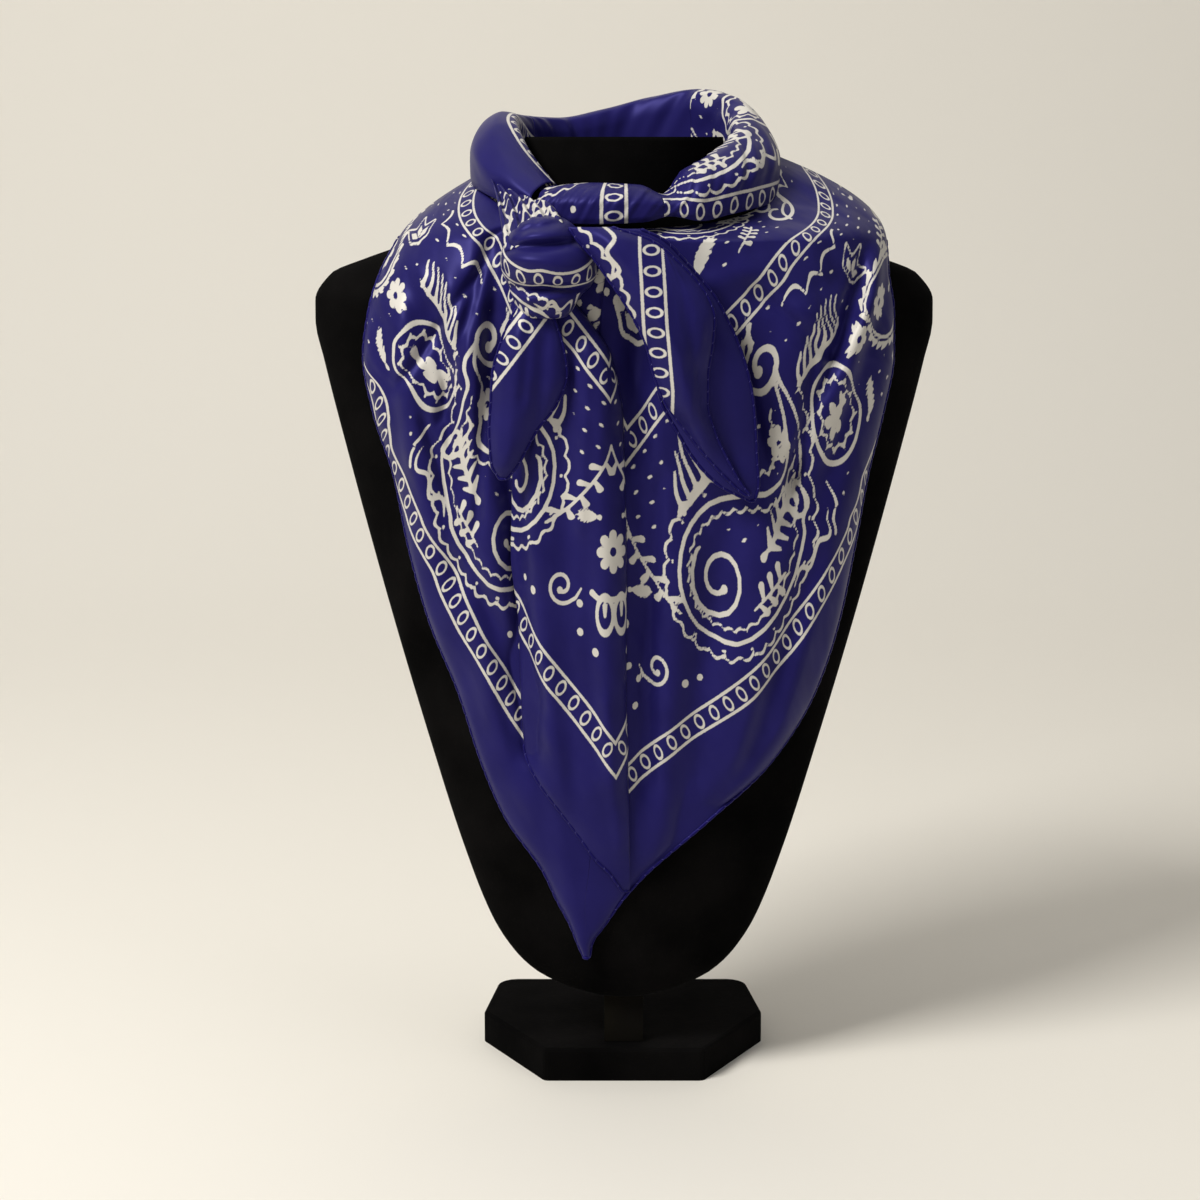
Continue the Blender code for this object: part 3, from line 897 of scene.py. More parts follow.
def smooth_path(points, steps):
    """A Catmull-Rom curve through the points, as an array."""
    points = np.array(points, dtype=float)
    padded = np.vstack([2 * points[0] - points[1], points, 2 * points[-1] - points[-2]])
    path = []
    for before, start, end, after in zip(padded, padded[1:], padded[2:], padded[3:]):
        for t in np.arange(steps) / steps:
            bend = 2 * before - 5 * start + 4 * end - after
            drift = 3 * start - before - 3 * end + after
            path.append(0.5 * (2 * start + (end - before) * t + bend * t * t + drift * t**3))
    return np.array(path + [points[-1]])


def wrap(value, period):
    """A value folded to within half a period of nothing."""
    return (value + period / 2.0) % period - period / 2.0


def moved(x, y, place_x, place_y, turn=0.0, size=1.0):
    """Coordinates in a motif's own frame."""
    x, y = (x - place_x) / size, (y - place_y) / size
    return x * cos(turn) + y * sin(turn), y * cos(turn) - x * sin(turn)


def outline_distance(x, y, path):
    """The distance inside (below nothing) or outside a closed path, and the length along it."""
    gap, along, _ = chain(x, y, [(px, py, 0.0) for px, py in path])
    inside = np.zeros(x.shape, dtype=bool)
    for (x0, y0), (x1, y1) in zip(path, np.roll(path, -1, axis=0)):
        if y0 == y1:
            continue
        crosses = (y0 > y) != (y1 > y)
        inside ^= crosses & (x < (x1 - x0) * (y - y0) / (y1 - y0) + x0)
    return np.where(inside, -gap, gap), along


# %% Small motifs
def dot(x, y, radius=2.4):
    """A round spot, a little flattened."""
    return np.hypot(x, y * 1.15) - radius


def dash(x, y, length=9.0, width=3.0):
    """A short stroke."""
    return stroke(x, y, [(-length / 2, 0, width / 2), (length / 2, 0, width / 2.4)])


def pen_line(x, y, points=(), width=2.6, steps=5):
    """A pen stroke through points, thinner at its ends."""
    path = smooth_path(points, steps)
    ends = np.minimum(np.arange(len(path)), np.arange(len(path))[::-1]) / len(path)
    radii = width / 2 * (0.5 + 0.5 * np.minimum(1.0, 5.0 * ends))
    return stroke(x, y, [(px, py, r) for (px, py), r in zip(path, radii)])


def flower(x, y, petals=8, radius=9.5, eye=0.19):
    """Petals that widen outward round an open eye: one is drawn, and the others repeat it by angle."""
    reach = np.hypot(x, y)
    angle = wrap(np.arctan2(y, x), 2.0 * pi / petals)
    px, py = reach * np.cos(angle), reach * np.sin(angle)
    breadth = 2.1 / petals
    petal = stroke(px, py, [(0.15 * radius, 0, 0.2 * radius), (0.74 * radius, 0, breadth * radius)])
    return np.maximum(petal, eye * radius - reach)


def leaf(x, y, length=26.0, breadth=9.0, pairs=5):
    """A solid feathered leaf with a bud at its root."""
    y = np.abs(y)
    shape = stroke(x, y, [(0, 0, 2.4), (3.5, 0, 1.0), (0.55 * length, 0, 2.4), (length, 0, 0.6)])
    for step in range(pairs):
        share = (step + 0.5) / pairs
        start = 4.5 + (length - 8.0) * share
        rise = breadth * (0.5 + 0.5 * sin(pi * share**0.8)) / 2.0
        shape = union(shape, stroke(x, y, [(start - 1.5, 0.4, 2.0), (start + 2.4, rise, 1.0)]))
    return shape


def sprig(x, y, length=40.0, bend=0.006, pairs=4, width=2.6):
    """A bent stalk with pairs of buds."""
    y = y - bend * x * x
    shape = stroke(x, y, [(0, 0, 0.4 * width), (length, 0, 0.5 * width)])
    for step in range(pairs):
        root = length * (0.2 + 0.8 * step / pairs)
        for way in (1.0, -1.0):
            shift = 2.0 if way > 0 else -1.0
            shape = union(shape, stroke(x, way * y, [(root + shift, 0, 1.0), (root + shift + 2.2, 6.0, 2.1)]))
    return shape


def scroll(x, y, width=3.2):
    """A bold stroke with a hook at either end."""
    left = [(3, 0), (0, 4), (-5, 3), (-7, -3), (-3, -9), (5, -11), (13, -7), (17, 2)]
    right = [(22, 12), (33, 17), (44, 13), (49, 4), (46, -4), (39, -6), (35, -1), (38, 3)]
    return pen_line(x - 21.0, y - 2.0, left + right, width, 4)


def curl(x, y, radius=10.0, turns=1.15, width=3.0, tail=0.0):
    """A hook that winds inward from its outer end, with a knob at its eye."""
    angles = np.linspace(0.0, 2.0 * pi * turns, 22)
    reach = radius * (1.0 - 0.74 * angles / angles[-1])
    path = [(r * cos(t), r * sin(t), width / 2) for r, t in zip(reach, angles)]
    if tail:
        path = [(radius - 0.25 * tail, -tail, width / 3), (radius, -0.5 * tail, width / 2.2)] + path
    knob = np.hypot(x - path[-1][0], y - path[-1][1]) - 0.85 * width
    return union(stroke(x, y, path), knob)


def tulip(x, y, size=11.0):
    """Two open petals on a bar, each with a seed."""
    bar = [(-0.2, -1.1, 0.15), (0.0, -0.8, 0.12), (0.05, 0.0, 0.12), (0.0, 0.8, 0.12), (-0.2, 1.1, 0.15)]
    shape = stroke(x, y, [(px * size, py * size, r * size) for px, py, r in bar])
    for middle in (-0.45, 0.45):
        px, py = x - 0.62 * size, y - middle * size
        loop = (np.hypot(px / (0.68 * size), py / (0.4 * size)) - 1.0) * 0.45 * size
        shape = union(shape, np.abs(loop) - 1.25, stroke(px, py, [(-0.34 * size, 0, 1.5), (0.05 * size, 0, 0.9)]))
    return shape


def three_leaves(x, y, size=14.0, spread=0.9):
    """Three pointed leaves from one root inside a pointed outline."""
    leaves, halo = np.full(x.shape, FAR), np.full(x.shape, FAR)
    for turn in (-spread, 0.0, spread):
        px, py = moved(x, y, 0.0, 0.0, turn)
        leaves = union(leaves, stroke(px, py, [(2.0, 0, 0.8), (0.55 * size, 0, 2.9), (size, 0, 0.3)]))
        halo = union(halo, stroke(px, py, [(0.0, 0, 3.2), (0.6 * size, 0, 6.2), (1.45 * size, 0, 1.4)]))
    return union(leaves, np.abs(halo) - 1.25)


def comb(x, y, length=46.0, teeth=8, reach=18.0):
    """A feather: a strong tapering spine with long curved teeth on one side."""
    shape = stroke(x, y, [(0, 0, 1.0), (0.45 * length, -1.5, 3.0), (length, 0, 0.8)])
    for step in range(teeth):
        share = (step + 0.4) / teeth
        rise = reach * sin(pi * (0.14 + 0.76 * share)) ** 0.6
        root = length * share
        tooth = smooth_path([(root, -1.0), (root + 0.18 * rise, 0.55 * rise), (root + 0.6 * rise, rise)], 3)
        radii = np.linspace(1.7, 1.1, len(tooth))
        shape = union(shape, stroke(x, y, [(px, py, r) for (px, py), r in zip(tooth, radii)]))
    return shape


def cloud(x, y, points=(), lobe=16.0, rise=6.0, width=2.5):
    """A cusped line: a curve whose one side swells in lobes that meet in points."""
    path = smooth_path(points, 5)
    gap, along, side = chain(x, y, [(px, py, 0.0) for px, py in path])
    lobes = rise * np.abs(np.sin(pi * along / lobe)) ** 0.8
    total = np.linalg.norm(np.diff(path, axis=0), axis=1).sum()
    inside = (along > 0.3) & (along < total - 0.3)
    return np.where(inside, np.abs(gap * side - lobes) - width / 2, gap - width / 2)


def claws(x, y, length=40.0, teeth=5):
    """A white crescent whose outer side breaks into pointed claws."""
    y = y - 0.012 * (x - 0.5 * length) ** 2
    body = stroke(x, y, [(0, 0, 0.5), (0.4 * length, 0, 2.5), (length, 0, 0.8)])
    for step in range(teeth):
        root = length * (step + 0.6) / teeth
        body = union(body, stroke(x, y, [(root, 0, 1.9), (root + 5.0, 6.5, 1.3), (root + 9.0, 9.0, 0.4)]))
    return body


# %% Paisleys
DROP = [
    (0.985, 0.50), (0.99, 0.32), (0.91, 0.10), (0.72, -0.10), (0.46, -0.21), (0.20, -0.19), (0.035, -0.04),
    (0.02, 0.15), (0.14, 0.30), (0.33, 0.335), (0.52, 0.26), (0.68, 0.18), (0.82, 0.21), (0.92, 0.33), (0.985, 0.50),
]
# The motifs in each kind of heart: the motif, its place in shares of the length, its turn, and its sizes by length.
HEARTS = {
    "curl": [
        (curl, 0.235, 0.065, 2.0, lambda size: {"radius": 0.17 * size, "turns": 1.45, "width": 2.8, "tail": 4.0}),
        (leaf, 0.50, 0.02, 0.25, lambda size: {"length": 0.36 * size, "breadth": 0.15 * size}),
        (sprig, 0.36, -0.12, 0.1, lambda size: {"length": 0.22 * size, "bend": 0.0, "pairs": 3, "width": 2.0}),
    ],
    "flower": [
        (flower, 0.235, 0.065, 0.2, lambda size: {"radius": 0.13 * size}),
        (leaf, 0.47, 0.03, 0.2, lambda size: {"length": 0.34 * size, "breadth": 0.14 * size, "pairs": 4}),
    ],
}


def paisley(x, y, length=110.0, halo="scallops", heart="curl"):
    """A bent drop with a round head and a curling tip: its outline, its halo, and the motifs that it holds."""
    path = smooth_path(DROP, 3) * length
    body, along = outline_distance(x, y, path)
    total = np.linalg.norm(np.diff(path, axis=0), axis=1).sum()
    shape = np.abs(body) - 1.35
    away_from_tip = (along > 0.05 * total) & (along < 0.95 * total)
    if halo == "scallops":
        count = 2 * round(total / 17.0)
        wave = 2.6 * np.abs(np.sin(pi * along * count / total))
        frill = np.where(body > 0.0, np.abs(body - 7.0 - wave) - 1.15, FAR)
        beads = np.hypot(body - 4.6, wrap(along, total / (count / 2))) - 1.2
        shape = union(shape, np.where(away_from_tip, union(frill, beads), FAR))
        lining = np.where(body < 0.0, np.abs(body + 4.6 + 0.8 * wave) - 0.95, FAR)
        shape = union(shape, np.where(along < 0.88 * total, lining, FAR))
    if halo == "teeth":
        share = (along / 6.4) % 1.0
        band = np.maximum(2.4 - body, body - 4.0 - 5.0 * share)
        shape = union(shape, np.where(away_from_tip, band, FAR))
    for motif, place_x, place_y, turn, sizes in HEARTS[heart]:
        px, py = moved(x, y, place_x * length, place_y * length, turn)
        shape = union(shape, motif(px, py, **sizes(length)))
    return shape


def roundel(x, y, radius=22.0):
    """A ring with a beaded, scalloped inner rim round a five-petalled flower and a leaf."""
    reach, angle = np.hypot(x, y), np.arctan2(y, x)
    rim = np.abs(reach - radius) - 1.5
    wave = 2.4 * np.abs(np.sin(6.0 * angle))
    frill = np.abs(reach - radius + 8.2 - wave) - 1.2
    beads = np.hypot(reach - radius + 4.2, radius * wrap(angle + pi / 12, pi / 6.0)) - 1.3
    bloom = flower(x + 0.2 * radius, y, 5, 0.36 * radius, 0.0)
    return union(rim, frill, beads, bloom, leaf(x - 0.1 * radius, y - 0.05 * radius, 0.44 * radius, 6.0, 2))


# %% [markdown]
# ## Laying out the square
# The flat square is the same in each of its eight wedges, so the layout is written once, for one wedge: `v` runs
# along the hem from the corner to the middle of the side, and `u` runs inward from the hem. A motif that stands on
# the wedge's edge meets its own mirror image there, as in a hand-cut block.

# %% The layout of one wedge
VINE = [(0, 0), (8, 4), (14, -2), (23, 4), (31, 0), (38, 8)]
LAYOUT_COLUMNS = ("motif", "v", "u", "turn", "flip", "size", "reach", "options")
LAYOUT = [
    (dot, 82, 98, 0, 0, 1.1, 6, {}),
    (dot, 98, 80, 0, 0, 1.1, 6, {}),
    (dot, 112, 80, 0, 0, 1.0, 6, {}),
    (dot, 122, 90, 0, 0, 1.0, 6, {}),
    (tulip, 108, 108, 225, 0, 1.2, 26, {}),
    (flower, 124, 124, 0, 0, 1.15, 14, {}),
    (sprig, 160, 160, -108, 0, 1.0, 72, {"length": 52.0, "bend": 0.008}),
    (curl, 136, 88, 200, 0, 0.9, 24, {"tail": 12.0, "width": 2.7}),
    (leaf, 142, 130, -40, 0, 0.7, 34, {"length": 22.0}),
    (dot, 148, 73, 0, 0, 1.1, 6, {}),
    (dot, 158, 71, 0, 0, 0.9, 6, {}),
    (paisley, 168, 97, -4, 0, 1.0, 150, {"length": 114.0}),
    (comb, 190, 139, 10, 0, 1.0, 70, {"length": 60.0, "teeth": 9, "reach": 21.0}),
    (claws, 250, 152, 20, 0, 1.0, 50, {"length": 30.0, "teeth": 4}),
    (pen_line, 236, 70, 0, 0, 1.0, 60, {"points": VINE, "width": 2.7}),
    (leaf, 228, 166, 64, 0, 0.9, 34, {"length": 22.0}),
    (curl, 262, 96, 120, 0, 1.0, 26, {"tail": 12.0, "width": 2.6}),
    (flower, 264, 122, 0, 0, 0.85, 14, {}),
    (dash, 282, 78, 60, 0, 1.0, 12, {"width": 2.9}),
    (dash, 274, 70, 50, 0, 1.0, 12, {"width": 2.9}),
    (roundel, 308, 98, 0, 0, 0.95, 32, {}),
    (comb, 292, 129, 4, 0, 0.9, 60, {}),
    (curl, 278, 152, 150, 0, 1.35, 24, {"tail": 14.0, "width": 2.6}),
    (leaf, 326, 76, 24, 0, 0.75, 40, {"length": 28.0}),
    (flower, 340, 112, 0, 0, 0.9, 14, {}),
    (cloud, 332, 160, 0, 0, 1.0, 70, {"points": [(-30, 6), (-10, -2), (10, -2), (26, 6)], "width": 2.7}),
    (three_leaves, 351, 140, 20, 0, 0.75, 34, {}),
    (sprig, 374, 128, 24, 0, 0.8, 60, {"length": 36.0, "bend": -0.006, "width": 2.8}),
    (flower, 412, 128, 0, 0, 0.8, 14, {}),
    (scroll, 392, 157, 4, 0, 0.75, 60, {"width": 3.6}),
    (paisley, 354, 106, -12, 0, 0.8, 130, {"length": 86.0, "halo": "teeth", "heart": "flower"}),
    (claws, 366, 74, -6, 1, 0.95, 50, {"length": 34.0, "teeth": 4}),
    (leaf, 412, 72, 8, 0, 0.8, 30, {"length": 24.0}),
    (flower, 445, 100, 90, 0, 1.5, 22, {}),
    (sprig, 441, 124, 112, 0, 0.95, 66, {"bend": -0.008}),
    (curl, 424, 92, 250, 0, 0.8, 24, {"tail": 12.0, "width": 2.9}),
    (tulip, 445, 80, 270, 0, 1.0, 30, {}),
    (leaf, 262, 214, 30, 0, 1.0, 44, {}),
    (sprig, 292, 206, 24, 0, 0.85, 60, {"length": 34.0}),
    (flower, 246, 232, 0, 0, 0.9, 14, {}),
    (curl, 348, 234, 60, 0, 1.0, 26, {"tail": 12.0, "width": 2.6}),
    (leaf, 410, 208, -14, 0, 0.9, 34, {"length": 24.0}),
    (three_leaves, 218, 218, 45, 0, 1.2, 40, {}),
    (dot, 238, 216, 0, 0, 1.2, 6, {}),
    (dot, 250, 212, 0, 0, 1.0, 6, {}),
    (scroll, 322, 218, 0, 0, 1.15, 60, {}),
    (cloud, 372, 212, 0, 0, 1.1, 60, {"points": [(-24, -6), (-6, 4), (12, -2), (26, 4)], "width": 2.7}),
    (paisley, 262, 252, 14, 0, 1.0, 150, {"length": 112.0}),
    (comb, 306, 248, 12, 1, 1.0, 66, {"length": 50.0}),
    (roundel, 416, 238, 0, 0, 1.2, 34, {}),
    (flower, 376, 250, 0, 0, 1.4, 20, {}),
    (claws, 352, 276, 24, 0, 1.1, 60, {"length": 44.0}),
    (leaf, 402, 268, 40, 0, 1.0, 40, {}),
    (curl, 392, 290, 0, 0, 1.1, 30, {"tail": 14.0, "width": 2.9}),
    (paisley, 445, 350, 150, 0, 0.9, 150, {"length": 100.0, "halo": "teeth", "heart": "flower"}),
    (comb, 420, 330, 60, 0, 1.0, 66, {"length": 40.0}),
    (three_leaves, 445, 290, 270, 0, 1.3, 40, {}),
    (flower, 445, 420, 0, 0, 1.6, 24, {}),
]
print("motifs in one wedge:", len(LAYOUT))

# The small seeds that fill the ground: their spacing, the clearance from which they grow, how fast, and how large.
SEED_PITCH = 11.5
SEED_ROWS = 9.0
SEED_CLEARANCE = 3.6
SEED_GROWTH = 0.45
SEED_RADIUS = 1.15
NO_SEED = 9.0
# Where the ground lies, in millimetres from the hem, and how far from the square's corner (u and v together).
RING_START_U, RING_END_U, RING_CORNER = 64.0, 173.0, 262.0
FIELD_START, FIELD_CORNER = 205.0, 480.0
MOTIF_LIMIT = 12.0


def in_ground(u, v):
    """Where seeds may lie: between the bands, away from the corner, and deep in the field."""
    between = (u > RING_START_U) & (u < RING_END_U) & (u + v > RING_CORNER)
    return between | ((u > FIELD_START) & (u + v > FIELD_CORNER))


def print_distance(first, second):
    """How far points of the flat cloth, in millimetres from its two hems, lie from the printed motifs."""
    first = np.minimum(np.abs(first), np.abs(CUT - first))
    second = np.minimum(np.abs(second), np.abs(CUT - second))
    u, v = np.minimum(first, second), np.maximum(first, second)
    nearest = np.full(u.shape, MOTIF_LIMIT)
    for row in LAYOUT:
        spot = SimpleNamespace(**dict(zip(LAYOUT_COLUMNS, row)))
        close = (np.abs(u - spot.u) < spot.reach * spot.size) & (np.abs(v - spot.v) < spot.reach * spot.size)
        if not close.any():
            continue
        x, y = moved(v[close], u[close], spot.v, spot.u, radians(spot.turn), spot.size)
        y = -y if spot.flip else y
        nearest[close] = np.minimum(nearest[close], spot.motif(x, y, **spot.options) * spot.size)
    row = np.round(u / SEED_ROWS)
    seed_u, seed_v = u - row * SEED_ROWS, wrap(v + (row % 2.0) * SEED_PITCH / 2.0, SEED_PITCH)
    room = np.clip((nearest - SEED_CLEARANCE) * SEED_GROWTH, -NO_SEED, SEED_RADIUS)
    seeds = np.hypot(0.6 * seed_v + 0.5 * seed_u, seed_u) - (room - np.where(in_ground(u, v), 0.0, NO_SEED))
    return np.clip(union(nearest, seeds), -MOTIF_LIMIT, MOTIF_LIMIT)


# %% [markdown]
# ## Silk with its print
# Silk twill has a soft, broad sheen, so the shader is rougher than satin, and a fine bump follows the twill's
# diagonal ribs. The UV map of every stretch holds the flat cloth's own coordinates: how far a point lies from
# its two hems, in metres. The two bands of rings are worked out from it in the shader, where they stay sharp at any
# size, and the motifs come from the distance that is stored at the mesh's points.


# %% The silk's shader
# Both bands, in millimetres: they lie 65 to either side of the line 116 from the hem, each between two lines.
BAND_MIDDLE = 116.0
BAND_REACH = 65.0
BAND_HALF = 6.0
LINE_HALF = 0.85
RING_PITCH = 10.6
RING_START = 59.0
RING_HALF_ACROSS = 3.8
RING_HALF_ALONG = 2.35
RING_STROKE = 0.22
RING_SCALE = 2.9
CORNER_GAP = 3.0
NO_RING = 9.0
STROKE_TRIM = 0.22
SMOOTH = 0.18
RIB_PITCH = 0.9


def maths(tree, operation, *values):
    """One step of arithmetic between sockets or numbers."""
    links = {f"_{index}": value for index, value in enumerate(values)}
    return add_node(tree, "ShaderNodeMath", {"operation": operation}, **links).outputs[0]


def band_distances(tree, first, second):
    """The lines and the rings of both bands, from the distances to the two hems."""
    step = partial(maths, tree)
    near, far = step("MINIMUM", first, second), step("MAXIMUM", first, second)
    offset = step("ABSOLUTE", step("SUBTRACT", near, BAND_MIDDLE))
    away = step("ABSOLUTE", step("SUBTRACT", offset, BAND_REACH))
    edge = step("ABSOLUTE", step("SUBTRACT", away, BAND_HALF))
    lines = step("SUBTRACT", edge, LINE_HALF)
    along = step("WRAP", step("SUBTRACT", far, RING_START), RING_PITCH / 2, -RING_PITCH / 2)
    shares = step("DIVIDE", away, RING_HALF_ACROSS), step("DIVIDE", along, RING_HALF_ALONG)
    reach = step("SQRT", step("ADD", *(step("POWER", share, 2.0) for share in shares)))
    oval = step("SUBTRACT", step("ABSOLUTE", step("SUBTRACT", reach, 1.0)), RING_STROKE)
    rings = step("MULTIPLY", oval, RING_SCALE)
    corner = step("MULTIPLY", step("LESS_THAN", step("SUBTRACT", far, near), CORNER_GAP), NO_RING)
    outside = step("MULTIPLY", step("GREATER_THAN", away, BAND_HALF), NO_RING)
    return step("MINIMUM", lines, step("ADD", rings, step("ADD", corner, outside)))


def make_silk(name):
    """Printed silk twill: dyed blue, discharged to a warm white, piece-dyed through, with a soft sheen."""
    sheen = {"Sheen_Weight": 0.02, "Sheen_Roughness": 0.4, "Sheen_Tint": "8F8CE0"}
    silk, tree, shader = start_material(name, Roughness=0.43, IOR=1.5, Specular_IOR_Level=0.5, **sheen)
    step = partial(maths, tree)
    noise = partial(add_node, tree, "ShaderNodeTexNoise")
    cloth = add_node(tree, "ShaderNodeUVMap", {"uv_map": "cloth"}).outputs["UV"]
    in_mm = add_node(tree, "ShaderNodeVectorMath", {"operation": "SCALE"}, _0=cloth, Scale=1000.0).outputs[0]
    axes = add_node(tree, "ShaderNodeSeparateXYZ", _0=in_mm)
    first, second = axes.outputs[0], axes.outputs[1]
    motifs = add_node(tree, "ShaderNodeAttribute", {"attribute_name": "motif"}).outputs["Fac"]
    printed = step("MINIMUM", step("ADD", motifs, STROKE_TRIM), band_distances(tree, first, second))
    # The discharge bleeds by a few tenths of a millimetre, unevenly.
    bleed = noise(Vector=in_mm, Scale=0.9, Detail=2.0).outputs[0]
    distance = step("ADD", printed, step("MULTIPLY", step("SUBTRACT", bleed, 0.5), 0.5))
    edge = {"From_Min": SMOOTH, "From_Max": -SMOOTH, "To_Min": 0.0, "To_Max": 1.0}
    ink = add_node(tree, "ShaderNodeMapRange", Value=distance, **edge).outputs[0]

    mottle = noise(Vector=in_mm, Scale=0.035, Detail=4.0).outputs[0]
    shown = mixed(tree, ink, mixed(tree, mottle, "171447", "242062"), "CBC7C0")
    gloss = mixed(tree, ink, "706CC4", "E6E2DA")

    ribs = step("SINE", step("MULTIPLY", step("ADD", first, second), 2.0 * pi / RIB_PITCH))
    slub = noise(Vector=in_mm, Scale=0.6, Detail=4.0, Roughness=0.6).outputs[0]
    height = step("ADD", step("MULTIPLY", ribs, 0.2), slub)
    weave = add_node(tree, "ShaderNodeBump", Height=height, Distance=0.04 * MM, Strength=0.35).outputs["Normal"]
    stretched = add_node(tree, "ShaderNodeMapping", Vector=in_mm, Scale=(1.0, 0.45, 1.0), Rotation=(0.0, 0.0, 0.7))
    rumple = noise(_0=stretched.outputs[0], Scale=0.04, Detail=1.5, Roughness=0.5).outputs[0]
    drape = add_node(tree, "ShaderNodeBump", Height=rumple, Distance=7.0 * MM, Strength=0.5, Normal=weave)
    feed(tree, shader, Base_Color=shown, Specular_Tint=gloss, Normal=drape.outputs["Normal"])
    return silk


silk = make_silk("printed_silk_twill")
print(silk.name, "with", len(silk.node_tree.nodes), "nodes")

# %% [markdown]
# ## Laying the sheets
# Each stretch is one grid, made with `create_grid` and laid on its surface. A length of real cloth doesn't stretch,
# so its print has to be laid by length along the cloth, and not by height or width in space: where the cloth dives
# into a fold, the print dives with it. So each stretch measures its own lengths before it takes its coordinates.


# %% A sheet from a surface
CLOTH_THICKNESS = 0.4


def lay_grid(surface, columns, rows):
    """A grid on a surface, and its points as an array of rows and columns, in millimetres."""
    bm = bmesh.new()
    bmesh.ops.create_grid(bm, x_segments=columns, y_segments=rows, size=0.5)
    flat = np.array([vertex.co[:2] for vertex in bm.verts]) + 0.5
    order = np.lexsort((np.round(flat[:, 0] * columns), np.round(flat[:, 1] * rows)))
    placed = surface(flat[:, 0], flat[:, 1])
    for vertex, point in zip(bm.verts, placed):
        vertex.co = Vector(point) * MM
    return bm, order, placed[order].reshape(rows + 1, columns + 1, 3)


def run_length(points, axis):
    """The length along a grid's rows (axis 1) or columns (axis 0), from its first point."""
    steps = np.linalg.norm(np.diff(points, axis=axis), axis=2)
    start = np.zeros_like(np.take(steps, [0], axis=axis))
    return np.cumsum(np.concatenate([start, steps], axis=axis), axis=axis)


def make_sheet(name, node, surface, columns, rows, cloth_place):
    """A stretch of the scarf: its mesh, its place on the flat cloth and its printed motifs. Returns its grid."""
    bm, order, grid = lay_grid(surface, columns, rows)
    piece = finish_piece(name, bm, silk)
    mesh = piece.data
    first, second = cloth_place(grid)
    flat = np.empty((len(order), 2))
    flat[order, 0], flat[order, 1] = first.ravel(), second.ravel()
    corners = np.empty(len(mesh.loops), dtype=np.int32)
    mesh.loops.foreach_get("vertex_index", corners)
    mesh.uv_layers.new(name="cloth").data.foreach_set("uv", (flat[corners] * MM).ravel())
    motif = mesh.attributes.new("motif", "FLOAT", "POINT")
    motif.data.foreach_set("value", print_distance(flat[:, 0], flat[:, 1]))
    wall = piece.modifiers.new("cloth thickness", "SOLIDIFY")
    wall.thickness = CLOTH_THICKNESS * MM
    wall.offset = -1.0
    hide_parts(node)
    across, along = np.ptp(first), np.ptp(second)
    return grid


# %% The chest layers
# Where the outer band turns its corner, seen from the front, and the directions of the band's two arms from there.
CORNER = (-21.8, 160.3)
RIGHT_ARM = np.array([0.648, 0.739])
LEFT_ARM = np.array([-0.465, 0.870])
LEFT_HALF_ARM = np.array([-0.54, 0.842])
BAND_CENTRE = BAND_MIDDLE - BAND_REACH
# How far the right band sags on the bias, where along it, over what length, and how deep into the cloth.
BIAS_SAG, SAG_MIDDLE, SAG_REACH, SAG_DEPTH = 26.0, 165.0, 148.0, 120.0


def corner_place(corner, right_arm, left_arm, anchor, sag=0.0):
    """The flat cloth's coordinates for a corner that hangs down, measured across from the column at anchor.

    Sag is how far the right band hangs below a straight line, where the weave gives on the bias."""
    to_cloth = np.linalg.inv(np.column_stack([right_arm, left_arm]))

    def place(grid):
        lengths = run_length(grid, 1)
        across = grid[:, anchor, :1] + lengths - lengths[:, anchor][:, None]
        climb = run_length(grid, 0)
        below = grid[:, :1, 2] < YOKE_LINE
        last = below.sum() - 1
        height = np.where(below, grid[:, :, 2], YOKE_LINE + climb - climb[last])
        apart = np.stack([across - corner[0], height - corner[1]])
        first, second = np.tensordot(to_cloth, apart, axes=1) + BAND_CENTRE
        along = np.clip((first - BAND_CENTRE - SAG_MIDDLE) / SAG_REACH, -1.0, 1.0)
        near_band = np.clip(1.0 - (second - BAND_CENTRE) / SAG_DEPTH, 0.0, 1.0)
        return first, second + sag * np.cos(0.5 * pi * along) ** 2 * near_band

    return place


def stretch_of(surface, start, end, crowd=((0.0, 1.0), (0.0, 1.0))):
    """Part of a surface, from start to end across; crowd gathers its columns where the print shows."""

    def part(across, up):
        return surface(start + (end - start) * np.interp(across, *crowd), up)

    return part


# The chest layer is laid in two halves that meet under the pleat, where fewer columns are needed.
HALVES_MEET = 0.45
LEFT_CROWD = ((0.0, 0.85, 1.0), (0.0, 0.68, 1.0))
left_grid = make_sheet(
    "scarf_lower_layer_left",
    "front_under",
    stretch_of(under_surface, 0.0, HALVES_MEET, LEFT_CROWD),
    columns=112,
    rows=430,
    cloth_place=corner_place(CORNER, RIGHT_ARM, LEFT_HALF_ARM, -1),
)
right_grid = make_sheet(
    "scarf_lower_layer_right",
    "front_under",
    stretch_of(under_surface, HALVES_MEET, 1.0),
    columns=140,
    rows=345,
    cloth_place=corner_place(CORNER, RIGHT_ARM, LEFT_ARM, 0, BIAS_SAG),
)
TOP_CORNER, TOP_RIGHT_ARM, TOP_LEFT_ARM = (-4.8, 198.9), np.array([0.60, 0.80]), np.array([-0.62, 0.785])
top_grid = make_sheet(
    "scarf_upper_pleat",
    "front_top",
    panel_surface(TOP, top_depth),
    columns=84,
    rows=320,
    cloth_place=corner_place(TOP_CORNER, TOP_RIGHT_ARM, TOP_LEFT_ARM, 70),
)


